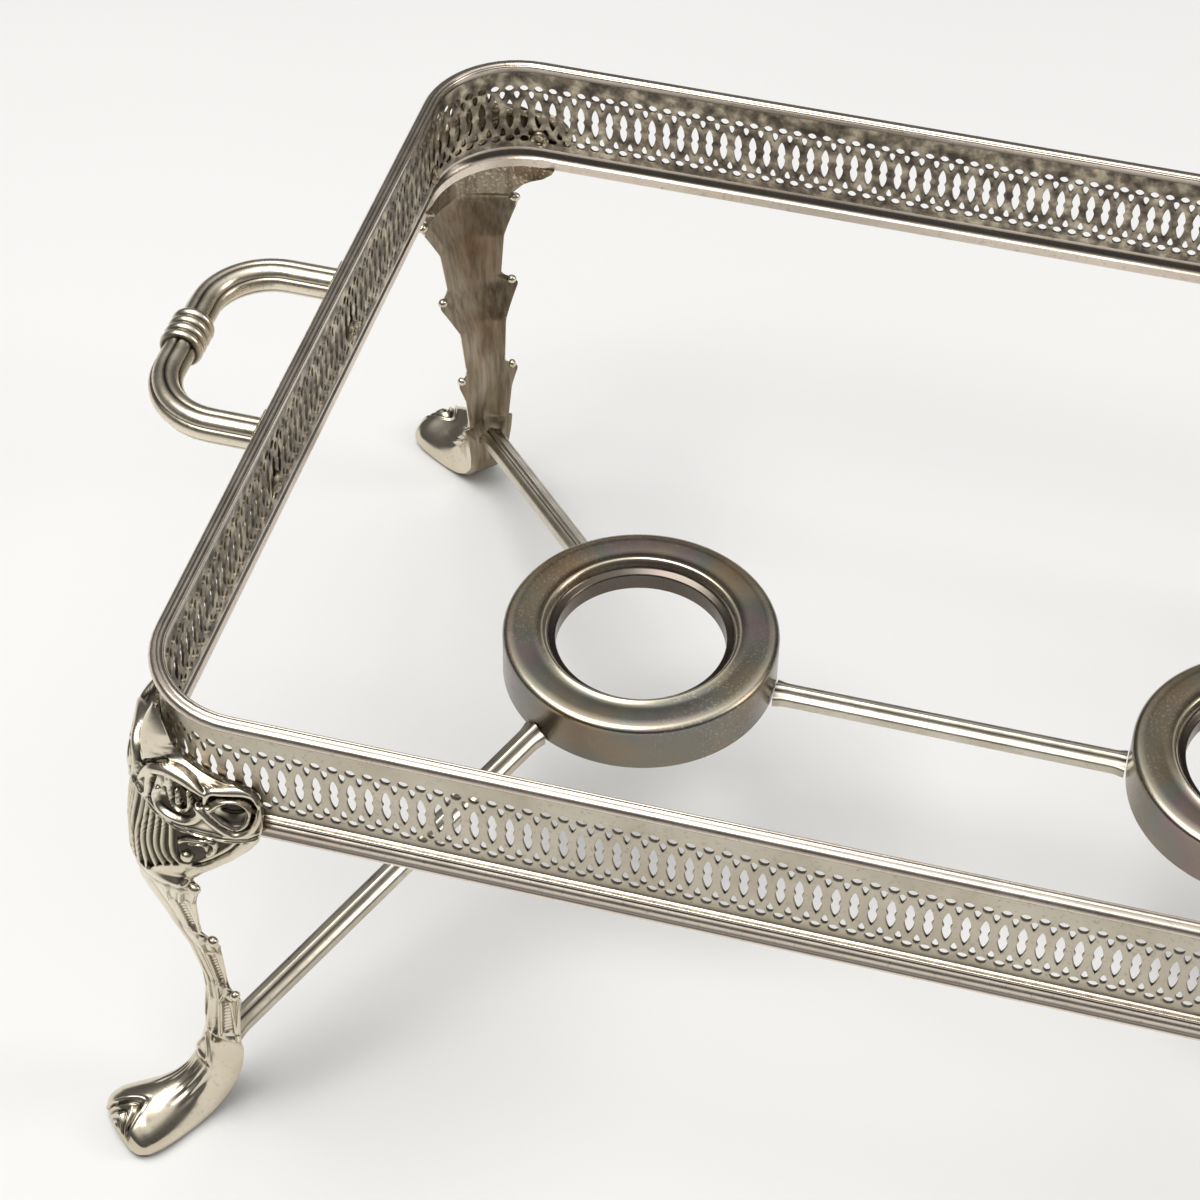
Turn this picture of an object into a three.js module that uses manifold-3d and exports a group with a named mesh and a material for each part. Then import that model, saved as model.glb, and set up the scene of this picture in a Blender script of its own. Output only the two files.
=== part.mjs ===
// A silver-plated stand for a rectangular chafing dish: a pierced gallery on four cast
// cabriole legs, with two fixed end handles and two burner rings carried by stretchers.
// Millimetres, +Z up, +X along the long side. The origin is on the floor, under the middle.
import * as THREE from "three";
import { mergeVertices } from "three/addons/utils/BufferGeometryUtils.js";
import Module from "manifold-3d";

const wasm = await Module();
wasm.setup();

// Gallery: sizes to the middle of the sheet
const SHEET_HALF_LENGTH = 167.2;
const SHEET_HALF_WIDTH = 124.4;
const SHEET_WALL = 0.9;
const CORNER_RADIUS = 24;
const CORNER_REACH = 5.2; // straight stretch at each end of a corner panel
const STAND_HEIGHT = 151.5;
const BAND_HEIGHT = 25.6;

// Piercing: pointed slots side by side
const SLOT_PITCH = 4;
const SLOT_HEIGHT = 9.3;
const SLOT_WIDTH = 2.1;
const SLOT_SHOULDER = 2.1; // from the slot's middle to where it starts to taper
const SLOT_MIDDLE = 1.8; // slot centre below the middle of the band

// Top rail: a reeded moulding over the sheet's edge
const RAIL_OUT = 1.95;
const RAIL_IN = 1.8;
const RAIL_HEIGHT = 2.7;
const REED_DEPTH = 0.5;

// Bottom rail: a hollow bead with a foot lip, open on the inside
const BEAD_OUT = 3.2;
const BEAD_HEIGHT = 5;
const BEAD_WALL = 0.8;
const LIP_HEIGHT = 2.5;

// Burner rings: stamped shells, open underneath
const RING_SPACING = 163;
const RING_RADIUS = 35.7;
const RING_HOLE = 22.1;
const RING_TOP = 73.7;
const RING_HEIGHT = 14;
const RING_WALL = 1;
const RING_SHOULDER = 1.5;
const RING_STEP = 2; // the ledge inside the rolled inner edge
const RING_THROAT = 7.8; // depth of the inner wall

// Stretchers: channel bars between the legs and the rings
const BAR_WIDTH = 6.4;
const BAR_DEPTH = 4.2;
const BAR_WALL = 1;
const BAR_RIB = 1.6;
const BAR_LEG_Z = 25.6; // top of the bar at the leg
const BAR_RING_DROP = 11; // top of the bar below the ring's top

// Handles: reeded bars bent into a D, cast with a collar and two riveted palms
const HANDLE_SPREAD = 29;
const HANDLE_REACH = 32; // from the sheet to the middle of the grip
const HANDLE_BEND = 17;
const HANDLE_RADIUS = 4.3;
const HANDLE_REEDS = 6;
const HANDLE_REED_DEPTH = 0.5;
const COLLAR_LENGTH = 11;
const COLLAR_RADIUS = 5.6;
const COLLAR_RIDGES = 4;
const PALM_WIDTH = 10;
const PALM_THICKNESS = 2.6;
const PALM_HEIGHT = 20;

// Rivets
const RIVET_RADIUS = 1.5;
const RIVET_HEAD = 2.8;
const RIVET_HEAD_THICKNESS = 0.9;
const RIVET_SIDES = 6;
const RIVET_GRIP = 1.6; // depth in the piece it holds
const LEG_RIVET_RUN = 18.4; // along the sheet from the middle of the corner
const LEG_RIVET_RISE = 3; // above the band's lower edge
const HANDLE_RIVET_RISE = 6.6;

// Legs
const LEG_DROP = 5.5; // the tip of the leg's leaf ends this far under the top of the stand
const LEG_WALL = 2;
const LEG_BACK = 6; // the shank's flat back lies this far inside the sheet's corner
const FLUTE_DEPTH = 0.55;

const BEND_STEPS = 4;
const FIT = 0.3; // clearance between pieces that touch on the real stand

const BAND_TOP = STAND_HEIGHT - RAIL_HEIGHT;
const BAND_BOTTOM = BAND_TOP - BAND_HEIGHT;
const SLOT_Z = BAND_BOTTOM + BAND_HEIGHT / 2 - SLOT_MIDDLE;
const LEG_RIVET_Z = BAND_BOTTOM + LEG_RIVET_RISE;
const HANDLE_Z = BAND_TOP - HANDLE_RADIUS - FIT;
const HANDLE_RIVET_Z = BAND_BOTTOM + HANDLE_RIVET_RISE;
const ARC_LENGTH = (CORNER_RADIUS * Math.PI) / 2;
const RING_X = RING_SPACING / 2;
const LEG_HEIGHT = STAND_HEIGHT - LEG_DROP;

// Materials
const metal = (color, roughness) =>
  new THREE.MeshStandardMaterial({ color, roughness, metalness: 1 });
const SILVER = () => metal(0xcfc6ae, 0.25);
const DULL_SILVER = () => metal(0xa39a82, 0.42);
const TINTED = () => metal(0x6b5d50, 0.35);

const stand = new THREE.Group();

function addMesh(name, geometry, material, parent = stand) {
  const mesh = new THREE.Mesh(geometry, material);
  mesh.name = name;
  parent.add(mesh);
  return mesh;
}

// Solids and booleans
function toSolid(geometry) {
  const bare = geometry.index ? geometry.toNonIndexed() : geometry.clone();
  for (const key of Object.keys(bare.attributes)) {
    if (key !== "position") bare.deleteAttribute(key);
  }
  const merged = mergeVertices(bare, 1e-4);
  return new wasm.Manifold(
    new wasm.Mesh({
      numProp: 3,
      vertProperties: new Float32Array(merged.attributes.position.array),
      triVerts: new Uint32Array(merged.index.array),
    }),
  );
}

function toGeometry(solid) {
  const mesh = solid.getMesh();
  const geometry = new THREE.BufferGeometry();
  geometry.setAttribute("position", new THREE.BufferAttribute(mesh.vertProperties, 3));
  geometry.setIndex(new THREE.BufferAttribute(mesh.triVerts, 1));
  geometry.computeVertexNormals();
  return geometry;
}

function cut(geometry, tools) {
  return toGeometry(tools.reduce((solid, tool) => solid.subtract(toSolid(tool)), toSolid(geometry)));
}

function join(geometry, others) {
  return toGeometry(others.reduce((solid, other) => solid.add(toSolid(other)), toSolid(geometry)));
}

// Skins a stack of rings, each a list of Vector3 with as many points as the others. The
// rings run anticlockwise as seen from the end of the stack, and so do the end caps' outlines.
function loft(rings, capStart, capEnd) {
  const points = rings.flat();
  const count = rings[0].length;
  const index = [];
  for (let r = 0; r + 1 < rings.length; r += 1) {
    for (let k = 0; k < count; k += 1) {
      const a = r * count + k;
      const b = r * count + ((k + 1) % count);
      index.push(a, b, b + count, a, b + count, a + count);
    }
  }
  const last = (rings.length - 1) * count;
  for (const [i, j, k] of THREE.ShapeUtils.triangulateShape(capStart, [])) index.push(k, j, i);
  for (const [i, j, k] of THREE.ShapeUtils.triangulateShape(capEnd, [])) {
    index.push(last + i, last + j, last + k);
  }
  const geometry = new THREE.BufferGeometry().setFromPoints(points);
  geometry.setIndex(index);
  return geometry;
}

// Sweeps a section through a list of places. Each place turns the section's (across, up)
// into a point, and the sweep runs in the direction of across x up.
function sweep(section, places) {
  const rings = places.map((place) => section.map(([across, up]) => place(across, up)));
  const outline = section.map(([across, up]) => new THREE.Vector2(across, up));
  return loft(rings, outline, outline);
}

// A point at a distance along the sheet from the middle of a rounded corner, and outwards
// from the sheet. The corner's arc is centred on the origin and its middle faces +Y.
function cornerPoint(distance, out, up) {
  const half = ARC_LENGTH / 2;
  const onArc = THREE.MathUtils.clamp(distance, -half, half);
  const angle = onArc / CORNER_RADIUS;
  const past = distance - onArc;
  const radius = CORNER_RADIUS + out;
  return new THREE.Vector3(
    radius * Math.sin(angle) + past * Math.cos(angle),
    radius * Math.cos(angle) - past * Math.sin(angle),
    up,
  );
}

// The four corners and four sides
const CORNERS = [
  ["front_left", -1, -1],
  ["front_right", 1, -1],
  ["back_right", 1, 1],
  ["back_left", -1, 1],
].map(([name, sideX, sideY]) => {
  const group = new THREE.Group();
  group.position.set(
    sideX * (SHEET_HALF_LENGTH - CORNER_RADIUS),
    sideY * (SHEET_HALF_WIDTH - CORNER_RADIUS),
    0,
  );
  group.rotation.z = Math.atan2(sideY, sideX) - Math.PI / 2;
  stand.add(group);
  return { name, sideX, sideY, group };
});

// A side's group has +X along the side and -Y outwards, and its y = 0 is the middle of the sheet.
const SIDES = [
  ["front", 0, SHEET_HALF_LENGTH, SHEET_HALF_WIDTH],
  ["right", 1, SHEET_HALF_WIDTH, SHEET_HALF_LENGTH],
  ["back", 2, SHEET_HALF_LENGTH, SHEET_HALF_WIDTH],
  ["left", 3, SHEET_HALF_WIDTH, SHEET_HALF_LENGTH],
].map(([name, turn, halfRun, distance]) => {
  const group = new THREE.Group();
  group.rotation.z = (turn * Math.PI) / 2;
  const inner = new THREE.Group();
  inner.position.y = -distance;
  group.add(inner);
  stand.add(group);
  return { name, isEnd: turn % 2 === 1, halfRun, group: inner };
});

// Piercing
const SLOT_OUTLINE = [
  [0, SLOT_HEIGHT / 2],
  [-SLOT_WIDTH / 2, SLOT_SHOULDER],
  [-SLOT_WIDTH / 2, -SLOT_SHOULDER],
  [0, -SLOT_HEIGHT / 2],
  [SLOT_WIDTH / 2, -SLOT_SHOULDER],
  [SLOT_WIDTH / 2, SLOT_SHOULDER],
];

const slotPoints = (x) => SLOT_OUTLINE.map(([dx, dz]) => new THREE.Vector2(x + dx, SLOT_Z + dz));

// Slot centres that fill a run, leaving out those that a rivet's land takes
function slotPlaces(run, lands = []) {
  const count = Math.round(run / SLOT_PITCH);
  const pitch = run / count;
  const land = RIVET_HEAD + SLOT_WIDTH / 2;
  return Array.from({ length: count }, (_, k) => (k + 0.5) * pitch - run / 2).filter((x) =>
    lands.every((middle) => Math.abs(x - middle) > land),
  );
}

// A straight panel of the gallery
function straightPanel(run, lands) {
  const outline = new THREE.Shape([
    new THREE.Vector2(-run / 2, BAND_BOTTOM),
    new THREE.Vector2(run / 2, BAND_BOTTOM),
    new THREE.Vector2(run / 2, BAND_TOP),
    new THREE.Vector2(-run / 2, BAND_TOP),
  ]);
  outline.holes = slotPlaces(run, lands).map((x) => new THREE.Path(slotPoints(x)));
  const geometry = new THREE.ExtrudeGeometry(outline, { depth: SHEET_WALL, bevelEnabled: false });
  geometry.rotateX(Math.PI / 2);
  geometry.translate(0, SHEET_WALL / 2, 0);
  return geometry;
}

// A corner panel: one cell for each slot, bent round the corner vertex by vertex
function cornerPanel() {
  const run = ARC_LENGTH + 2 * CORNER_REACH;
  const places = slotPlaces(run);
  const pitch = run / places.length;
  const points = [];
  const faces = [];
  const add = (flat, out) => points.push(cornerPoint(flat.x, out, flat.y)) - 1;
  const wall = (outer, inner) => {
    outer.forEach((a, k) => {
      const next = (k + 1) % outer.length;
      faces.push([a, inner[k], outer[next]], [outer[next], inner[k], inner[next]]);
    });
  };
  places.forEach((x, cell) => {
    const low = new THREE.Vector2(x - pitch / 2, BAND_BOTTOM);
    const high = new THREE.Vector2(x + pitch / 2, BAND_TOP);
    const border = [
      low,
      new THREE.Vector2(high.x, low.y),
      high,
      new THREE.Vector2(low.x, high.y),
    ];
    const slot = slotPoints(x);
    const flat = [...border, ...slot];
    const outer = flat.map((p) => add(p, SHEET_WALL / 2));
    const inner = flat.map((p) => add(p, -SHEET_WALL / 2));
    for (const [i, j, k] of THREE.ShapeUtils.triangulateShape(border, [slot])) {
      faces.push([outer[k], outer[j], outer[i]], [inner[i], inner[j], inner[k]]);
    }
    wall(outer.slice(4), inner.slice(4));
    const edges = [[0, 1], [2, 3]];
    if (cell === 0) edges.push([3, 0]);
    if (cell === places.length - 1) edges.push([1, 2]);
    for (const [a, b] of edges) {
      faces.push([outer[a], outer[b], inner[a]], [outer[b], inner[b], inner[a]]);
    }
  });
  const geometry = new THREE.BufferGeometry().setFromPoints(points);
  geometry.setIndex(faces.flat());
  return geometry;
}

// Rails
const TOP_RAIL = [
  [-RAIL_IN, BAND_TOP],
  [RAIL_OUT, BAND_TOP],
  [RAIL_OUT, STAND_HEIGHT - 2 * REED_DEPTH],
  [RAIL_OUT / 2, STAND_HEIGHT],
  [-RAIL_IN / 4, STAND_HEIGHT],
  [-RAIL_IN / 2, STAND_HEIGHT - REED_DEPTH],
  [-RAIL_IN * 0.7, STAND_HEIGHT - REED_DEPTH / 3],
  [-RAIL_IN, STAND_HEIGHT - REED_DEPTH / 2],
];

const BEAD_MIDDLE = BAND_BOTTOM - BEAD_HEIGHT / 2;
const LIP_TOP = BAND_BOTTOM - BEAD_HEIGHT;
const BOTTOM_RAIL = [
  [-SHEET_WALL / 2, BAND_BOTTOM],
  [-SHEET_WALL / 2, BAND_BOTTOM - BEAD_WALL],
  [BEAD_OUT - BEAD_WALL, BEAD_MIDDLE],
  [SHEET_WALL / 2, LIP_TOP],
  [SHEET_WALL / 2, LIP_TOP - LIP_HEIGHT],
  [SHEET_WALL / 2 + BEAD_WALL, LIP_TOP - LIP_HEIGHT],
  [SHEET_WALL / 2 + BEAD_WALL, LIP_TOP],
  [BEAD_OUT, BEAD_MIDDLE - BEAD_HEIGHT / 5],
  [BEAD_OUT, BEAD_MIDDLE + BEAD_HEIGHT / 5],
  [SHEET_WALL, BAND_BOTTOM],
];

const ARC_STEPS = 6;

function straightRail(section, run) {
  const ends = [run / 2, -run / 2];
  return sweep(
    section,
    ends.map((x) => (out, up) => new THREE.Vector3(x, -out, up)),
  );
}

function cornerRail(section) {
  const stops = Array.from({ length: ARC_STEPS + 1 }, (_, k) => (k / ARC_STEPS - 0.5) * ARC_LENGTH);
  return sweep(
    section,
    stops.map((distance) => (out, up) => cornerPoint(distance, out, up)),
  );
}

// Rivets: the axis is Y, with the head behind the sheet and the shank through it to +Y
function rivet() {
  const back = -SHEET_WALL / 2 - FIT;
  const profile = [
    [0, back - RIVET_HEAD_THICKNESS],
    [RIVET_HEAD * 0.7, back - RIVET_HEAD_THICKNESS],
    [RIVET_HEAD, back],
    [RIVET_RADIUS, back],
    [RIVET_RADIUS, SHEET_WALL / 2 + RIVET_GRIP],
    [0, SHEET_WALL / 2 + RIVET_GRIP],
  ].map(([r, y]) => new THREE.Vector2(r, y));
  return new THREE.LatheGeometry(profile, RIVET_SIDES);
}

// What a rivet's shank needs: a hole through the sheet and into the piece outside it
function rivetDrill() {
  const length = SHEET_WALL + 2 * FIT + RIVET_GRIP;
  const radius = RIVET_RADIUS + FIT;
  return new THREE.CylinderGeometry(radius, radius, 2 * length, RIVET_SIDES).translate(
    0,
    SHEET_WALL / 2 + RIVET_GRIP + FIT - length,
    0,
  );
}

// Puts a piece with its axis on Y at a place on the corner's sheet, facing outwards
function atCorner(geometry, distance, up) {
  const half = ARC_LENGTH / 2;
  const angle = THREE.MathUtils.clamp(distance, -half, half) / CORNER_RADIUS;
  const place = cornerPoint(distance, 0, up);
  return geometry.rotateZ(-angle).translate(place.x, place.y, place.z);
}

const atSide = (geometry, x, up) => geometry.rotateZ(Math.PI).translate(x, 0, up);

const LEG_RIVET_PLACES = [-LEG_RIVET_RUN, LEG_RIVET_RUN];
const HANDLE_RIVET_PLACES = [-HANDLE_SPREAD, HANDLE_SPREAD];

// Legs
// Each row is a level of the knee or shank: height as a share of the leg, how far the ridge
// stands out from the sheet, how far the side reaches along the sheet and stands out from
// it, how sharply the side falls away, and how much of the side wraps back to the sheet.
const KNEE_ROWS = [
  [0.185, 0.3, 8.1, -4.9, 2, 0],
  [0.266, -1.4, 9.5, -4.5, 2, 0],
  [0.314, -1.2, 12.5, -3.3, 2, 0],
  [0.325, -1, 7.4, -3.3, 2, 0],
  [0.424, 2, 8.1, -2, 2, 0],
  [0.5, 5.5, 12.3, 2.3, 2, 0],
  [0.514, 6, 7.7, 3.2, 2, 0],
  [0.603, 10, 8.7, 4.3, 2, 0],
  [0.681, 13.1, 12.7, 7.8, 1.8, 0],
  [0.692, 13.1, 10.5, 6.8, 1.6, 0],
  [0.747, 12.9, 15.8, 5, 1.3, 0.4],
  [0.791, 11.5, 22.6, 4.8, 1.1, 1],
  [0.815, 10.6, 25.3, 4.8, 1.1, 1],
  [0.849, 9.6, 26.6, 4.8, 1.2, 1],
  [0.9, 8.4, 25.3, 2.2, 1.2, 1],
  [0.921, 7.8, 18.5, 1.6, 1, 1],
  [0.938, 7.4, 8.3, 2.4, 1.4, 0],
  [1, 4.8, 1.6, 4, 1.6, 0],
];
const FLUTED = [0.603, 0.8]; // the shell's lowest and highest share of the leg

// Each row is a section across the paw, upright at the toes and leaning back to lie level at
// the ankle: how far its top stands out from the sheet and its height as a share of the leg,
// the same for its sole, and half its width.
const PAW_ROWS = [
  [27.2, 0.014, 26, 0, 6.3],
  [27.6, 0.034, 24.6, 0, 9],
  [26, 0.054, 22.6, 0, 10.3],
  [22.5, 0.064, 19.5, 0, 10.5],
  [18.5, 0.065, 14.5, 0, 9.6],
  [14, 0.069, 8.5, 0, 8],
  [10, 0.078, 3, 0.008, 6.7],
  [6.6, 0.094, -1.2, 0.029, 6],
  [3.9, 0.115, -4.6, 0.062, 6],
  [1.9, 0.138, -LEG_BACK, 0.103, 6.6],
  [0.7, 0.165, -LEG_BACK, 0.151, 7.3],
];
const TOES_START = 18; // the clefts between the toes start this far out
const CLEFT_SHARE = 0.08; // depth of the clefts, as a share of the section
const PAW_TURN = 0.6 * Math.PI; // how far a section's skin turns from its top to its sole
const PAW_BULGE = 0.3; // height of the widest line, as a share of the section
const SOLE_SHARE = 0.7; // width of the flat sole, as a share of the section

const HALF_POINTS = 5; // points on each side of the ridge
const WRAP_DEPTH = 1.5; // how far a wing's back reaches into the sheet before it is cut

const steps = Array.from({ length: 2 * HALF_POINTS + 1 }, (_, k) => HALF_POINTS - k);

function kneeRing([share, ridge, run, edge, power, wrap]) {
  const z = share * LEG_HEIGHT;
  const fluted = share > FLUTED[0] && share < FLUTED[1];
  const outer = steps.map((k) => {
    const side = k / HALF_POINTS;
    const fall = Math.abs(side) ** power;
    const isGroove = fluted && k % 2 !== 0 && Math.abs(side) < 0.7;
    return cornerPoint(run * side, ridge + (edge - ridge) * fall - (isGroove ? FLUTE_DEPTH : 0), z);
  });
  const lip = Math.min(LEG_WALL, run / 2) * (1 - wrap / 2);
  const back = THREE.MathUtils.lerp(edge, -WRAP_DEPTH, wrap);
  const inner = [
    cornerPoint(lip - run, back, z),
    cornerPoint(0, ridge - LEG_WALL, z),
    cornerPoint(run - lip, back, z),
  ];
  return [...outer, ...inner];
}

function pawRing([topOut, topShare, soleOut, soleShare, halfWidth]) {
  const point = (across, rise) =>
    new THREE.Vector3(
      across * halfWidth,
      CORNER_RADIUS + THREE.MathUtils.lerp(soleOut, topOut, rise),
      THREE.MathUtils.lerp(soleShare, topShare, rise) * LEG_HEIGHT,
    );
  const outer = steps.map((k) => {
    const angle = (k / HALF_POINTS) * PAW_TURN;
    const isCleft = Math.abs(k) === 1 && topOut > TOES_START;
    const rise = PAW_BULGE + (1 - PAW_BULGE) * Math.cos(angle);
    return point(Math.sin(angle), rise - (isCleft ? CLEFT_SHARE : 0));
  });
  return [...outer, ...[-SOLE_SHARE, 0, SOLE_SHARE].map((across) => point(across, 0))];
}

// The space that the gallery and its rails take, with clearance, as the leg sees it
function gallerySpace() {
  const sheet = SHEET_WALL / 2 + FIT;
  const lip = SHEET_WALL / 2 + BEAD_WALL + FIT;
  const bead = BEAD_OUT + FIT;
  const section = [
    [-CORNER_RADIUS / 2, LIP_TOP - LIP_HEIGHT - FIT],
    [lip, LIP_TOP - LIP_HEIGHT - FIT],
    [lip, LIP_TOP],
    [bead, BEAD_MIDDLE - BEAD_HEIGHT / 4],
    [bead, BAND_BOTTOM + FIT],
    [sheet, BAND_BOTTOM + FIT],
    [sheet, STAND_HEIGHT],
    [-CORNER_RADIUS / 2, STAND_HEIGHT],
  ];
  const stops = [-ARC_LENGTH];
  for (let k = 0; k <= 2 * ARC_STEPS; k += 1) stops.push((k / (2 * ARC_STEPS) - 0.5) * ARC_LENGTH);
  stops.push(ARC_LENGTH);
  return sweep(
    section,
    stops.map((distance) => (out, up) => cornerPoint(distance, out, up)),
  );
}

function legGeometry() {
  const rings = [...PAW_ROWS.map(pawRing), ...KNEE_ROWS.map(kneeRing)];
  const toes = rings[0].map((p) => new THREE.Vector2(p.x, p.z));
  const tip = rings[rings.length - 1].map((p) => new THREE.Vector2(p.x, p.y));
  const body = loft(rings, toes, tip);
  const drills = LEG_RIVET_PLACES.map((run) => atCorner(rivetDrill(), run, LEG_RIVET_Z));
  return cut(body, [gallerySpace(), ...drills]);
}

// Handles
// The middle line of the bar, from the left palm round the grip to the right palm
function handlePath() {
  const bendX = HANDLE_SPREAD - HANDLE_BEND;
  const bendOut = HANDLE_REACH - HANDLE_BEND;
  const right = [{ x: HANDLE_SPREAD, out: SHEET_WALL / 2 + FIT + PALM_THICKNESS / 2, angle: 0 }];
  for (let k = 0; k <= BEND_STEPS; k += 1) {
    const angle = ((k / BEND_STEPS) * Math.PI) / 2;
    right.push({
      x: bendX + HANDLE_BEND * Math.cos(angle),
      out: bendOut + HANDLE_BEND * Math.sin(angle),
      angle,
    });
  }
  const left = right.map(({ x, out, angle }) => ({ x: -x, out, angle: Math.PI - angle }));
  return [...left, ...right.reverse()];
}

function reededSection() {
  const points = 2 * HANDLE_REEDS;
  return Array.from({ length: points }, (_, k) => {
    const angle = (k / points) * 2 * Math.PI;
    const radius = HANDLE_RADIUS - (k % 2 === 0 ? 0 : HANDLE_REED_DEPTH);
    return [radius * Math.cos(angle), radius * Math.sin(angle)];
  });
}

function collar() {
  const ridge = COLLAR_LENGTH / COLLAR_RIDGES;
  const groove = COLLAR_RADIUS - HANDLE_REED_DEPTH;
  const profile = [[0, -COLLAR_LENGTH / 2], [groove, -COLLAR_LENGTH / 2]];
  for (let k = 0; k < COLLAR_RIDGES; k += 1) {
    const start = -COLLAR_LENGTH / 2 + k * ridge;
    profile.push([COLLAR_RADIUS, start + ridge / 2], [groove, start + ridge]);
  }
  profile.push([0, COLLAR_LENGTH / 2]);
  const points = profile.map(([r, y]) => new THREE.Vector2(r, y));
  return new THREE.LatheGeometry(points, 2 * HANDLE_REEDS)
    .rotateZ(Math.PI / 2)
    .translate(0, -HANDLE_REACH, HANDLE_Z);
}

function palm(x) {
  const half = PALM_WIDTH / 2;
  const top = BAND_TOP - FIT;
  const bottom = top - PALM_HEIGHT;
  const shape = new THREE.Shape();
  shape.moveTo(-half, top);
  shape.lineTo(-half, bottom + half);
  shape.absarc(0, bottom + half, half, Math.PI, 2 * Math.PI, false);
  shape.lineTo(half, top);
  const plate = new THREE.ExtrudeGeometry(shape, {
    depth: PALM_THICKNESS,
    bevelEnabled: false,
    curveSegments: 3,
  });
  return plate.rotateX(Math.PI / 2).translate(x, -SHEET_WALL / 2 - FIT, 0);
}

function handleGeometry() {
  const section = reededSection();
  const places = handlePath().map(({ x, out, angle }) => (side, up) => {
    const reach = out - side * Math.sin(angle);
    return new THREE.Vector3(x - side * Math.cos(angle), -reach, HANDLE_Z + up);
  });
  const bar = sweep(section, places);
  const joined = join(bar, [collar(), ...HANDLE_RIVET_PLACES.map(palm)]);
  const drills = HANDLE_RIVET_PLACES.map((x) => atSide(rivetDrill(), x, HANDLE_RIVET_Z));
  return cut(joined, drills);
}

// Burner rings
function burnerRing() {
  const bottom = RING_TOP - RING_HEIGHT;
  const ledge = RING_HOLE + RING_STEP;
  const throat = RING_TOP - RING_THROAT;
  const profile = [
    [RING_RADIUS, bottom],
    [RING_RADIUS, RING_TOP - RING_SHOULDER],
    [RING_RADIUS - RING_SHOULDER, RING_TOP],
    [ledge + RING_SHOULDER, RING_TOP],
    [ledge, RING_TOP - RING_SHOULDER],
    [RING_HOLE, RING_TOP - RING_SHOULDER - RING_STEP],
    [RING_HOLE, throat],
    [RING_HOLE + RING_WALL, throat],
    [RING_HOLE + RING_WALL, RING_TOP - RING_SHOULDER - RING_STEP],
    [ledge + RING_SHOULDER, RING_TOP - RING_WALL],
    [RING_RADIUS - RING_SHOULDER, RING_TOP - RING_WALL],
    [RING_RADIUS - RING_WALL, RING_TOP - RING_SHOULDER],
    [RING_RADIUS - RING_WALL, bottom],
    [RING_RADIUS, bottom],
  ];
  const points = profile.map(([r, z]) => new THREE.Vector2(r, z));
  return new THREE.LatheGeometry(points, 24).rotateX(Math.PI / 2);
}

// Stretchers: a channel with a raised rib, swept between two points on its top. Its first
// end can be cut at a slant, to lie flat against a back that faces another way.
function stretcher(from, to, facing) {
  const half = BAR_WIDTH / 2;
  const rib = BAR_RIB / 2;
  const section = [
    [half, -BAR_DEPTH],
    [half, -BAR_DEPTH / 2.6],
    [rib, -BAR_RIB / 3],
    [rib, 0],
    [-rib, 0],
    [-rib, -BAR_RIB / 3],
    [-half, -BAR_DEPTH / 2.6],
    [-half, -BAR_DEPTH],
    [BAR_WALL - half, -BAR_DEPTH],
    [BAR_WALL - half, -BAR_DEPTH / 2],
    [half - BAR_WALL, -BAR_DEPTH / 2],
    [half - BAR_WALL, -BAR_DEPTH],
  ];
  const along = new THREE.Vector3().subVectors(to, from).setZ(0).normalize();
  const across = new THREE.Vector3(-along.y, along.x, 0);
  const slant = facing ? -across.dot(facing) / along.dot(facing) : 0;
  const ends = [
    [from, slant],
    [to, 0],
  ];
  return sweep(
    section,
    ends.map(([end, lean]) => (side, up) => {
      const point = end.clone().addScaledVector(across, side);
      return point.addScaledVector(along, side * lean).setZ(end.z + up);
    }),
  );
}

const BAR_RING_Z = RING_TOP - BAR_RING_DROP;

function legStretcher({ sideX, sideY, group }) {
  const outwards = new THREE.Vector3(sideX, sideY, 0).normalize();
  const from = group.position.clone().setZ(BAR_LEG_Z);
  from.addScaledVector(outwards, CORNER_RADIUS - LEG_BACK - FIT);
  const ring = new THREE.Vector3(sideX * RING_X, 0, BAR_RING_Z);
  const towards = new THREE.Vector3().subVectors(from, ring).setZ(0);
  const to = ring.clone().add(towards.setLength(RING_RADIUS + FIT));
  return stretcher(from, to, outwards);
}

// Assembly
for (const { name, isEnd, halfRun, group } of SIDES) {
  const railRun = 2 * (halfRun - CORNER_RADIUS);
  const panelRun = railRun - 2 * CORNER_REACH;
  const lands = isEnd ? HANDLE_RIVET_PLACES : [];
  const panel = straightPanel(panelRun, lands);
  const drills = lands.map((x) => atSide(rivetDrill(), x, HANDLE_RIVET_Z));
  addMesh(`gallery_${name}`, isEnd ? cut(panel, drills) : panel, DULL_SILVER(), group);
  addMesh(`top_rail_${name}`, straightRail(TOP_RAIL, railRun), SILVER(), group);
  addMesh(`bottom_rail_${name}`, straightRail(BOTTOM_RAIL, railRun), SILVER(), group);
  if (!isEnd) continue;
  addMesh(`handle_${name}`, handleGeometry(), SILVER(), group);
  HANDLE_RIVET_PLACES.forEach((x, k) => {
    const rivetName = `handle_rivet_${name}_${k + 1}`;
    addMesh(rivetName, atSide(rivet(), x, HANDLE_RIVET_Z), DULL_SILVER(), group);
  });
}

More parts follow.
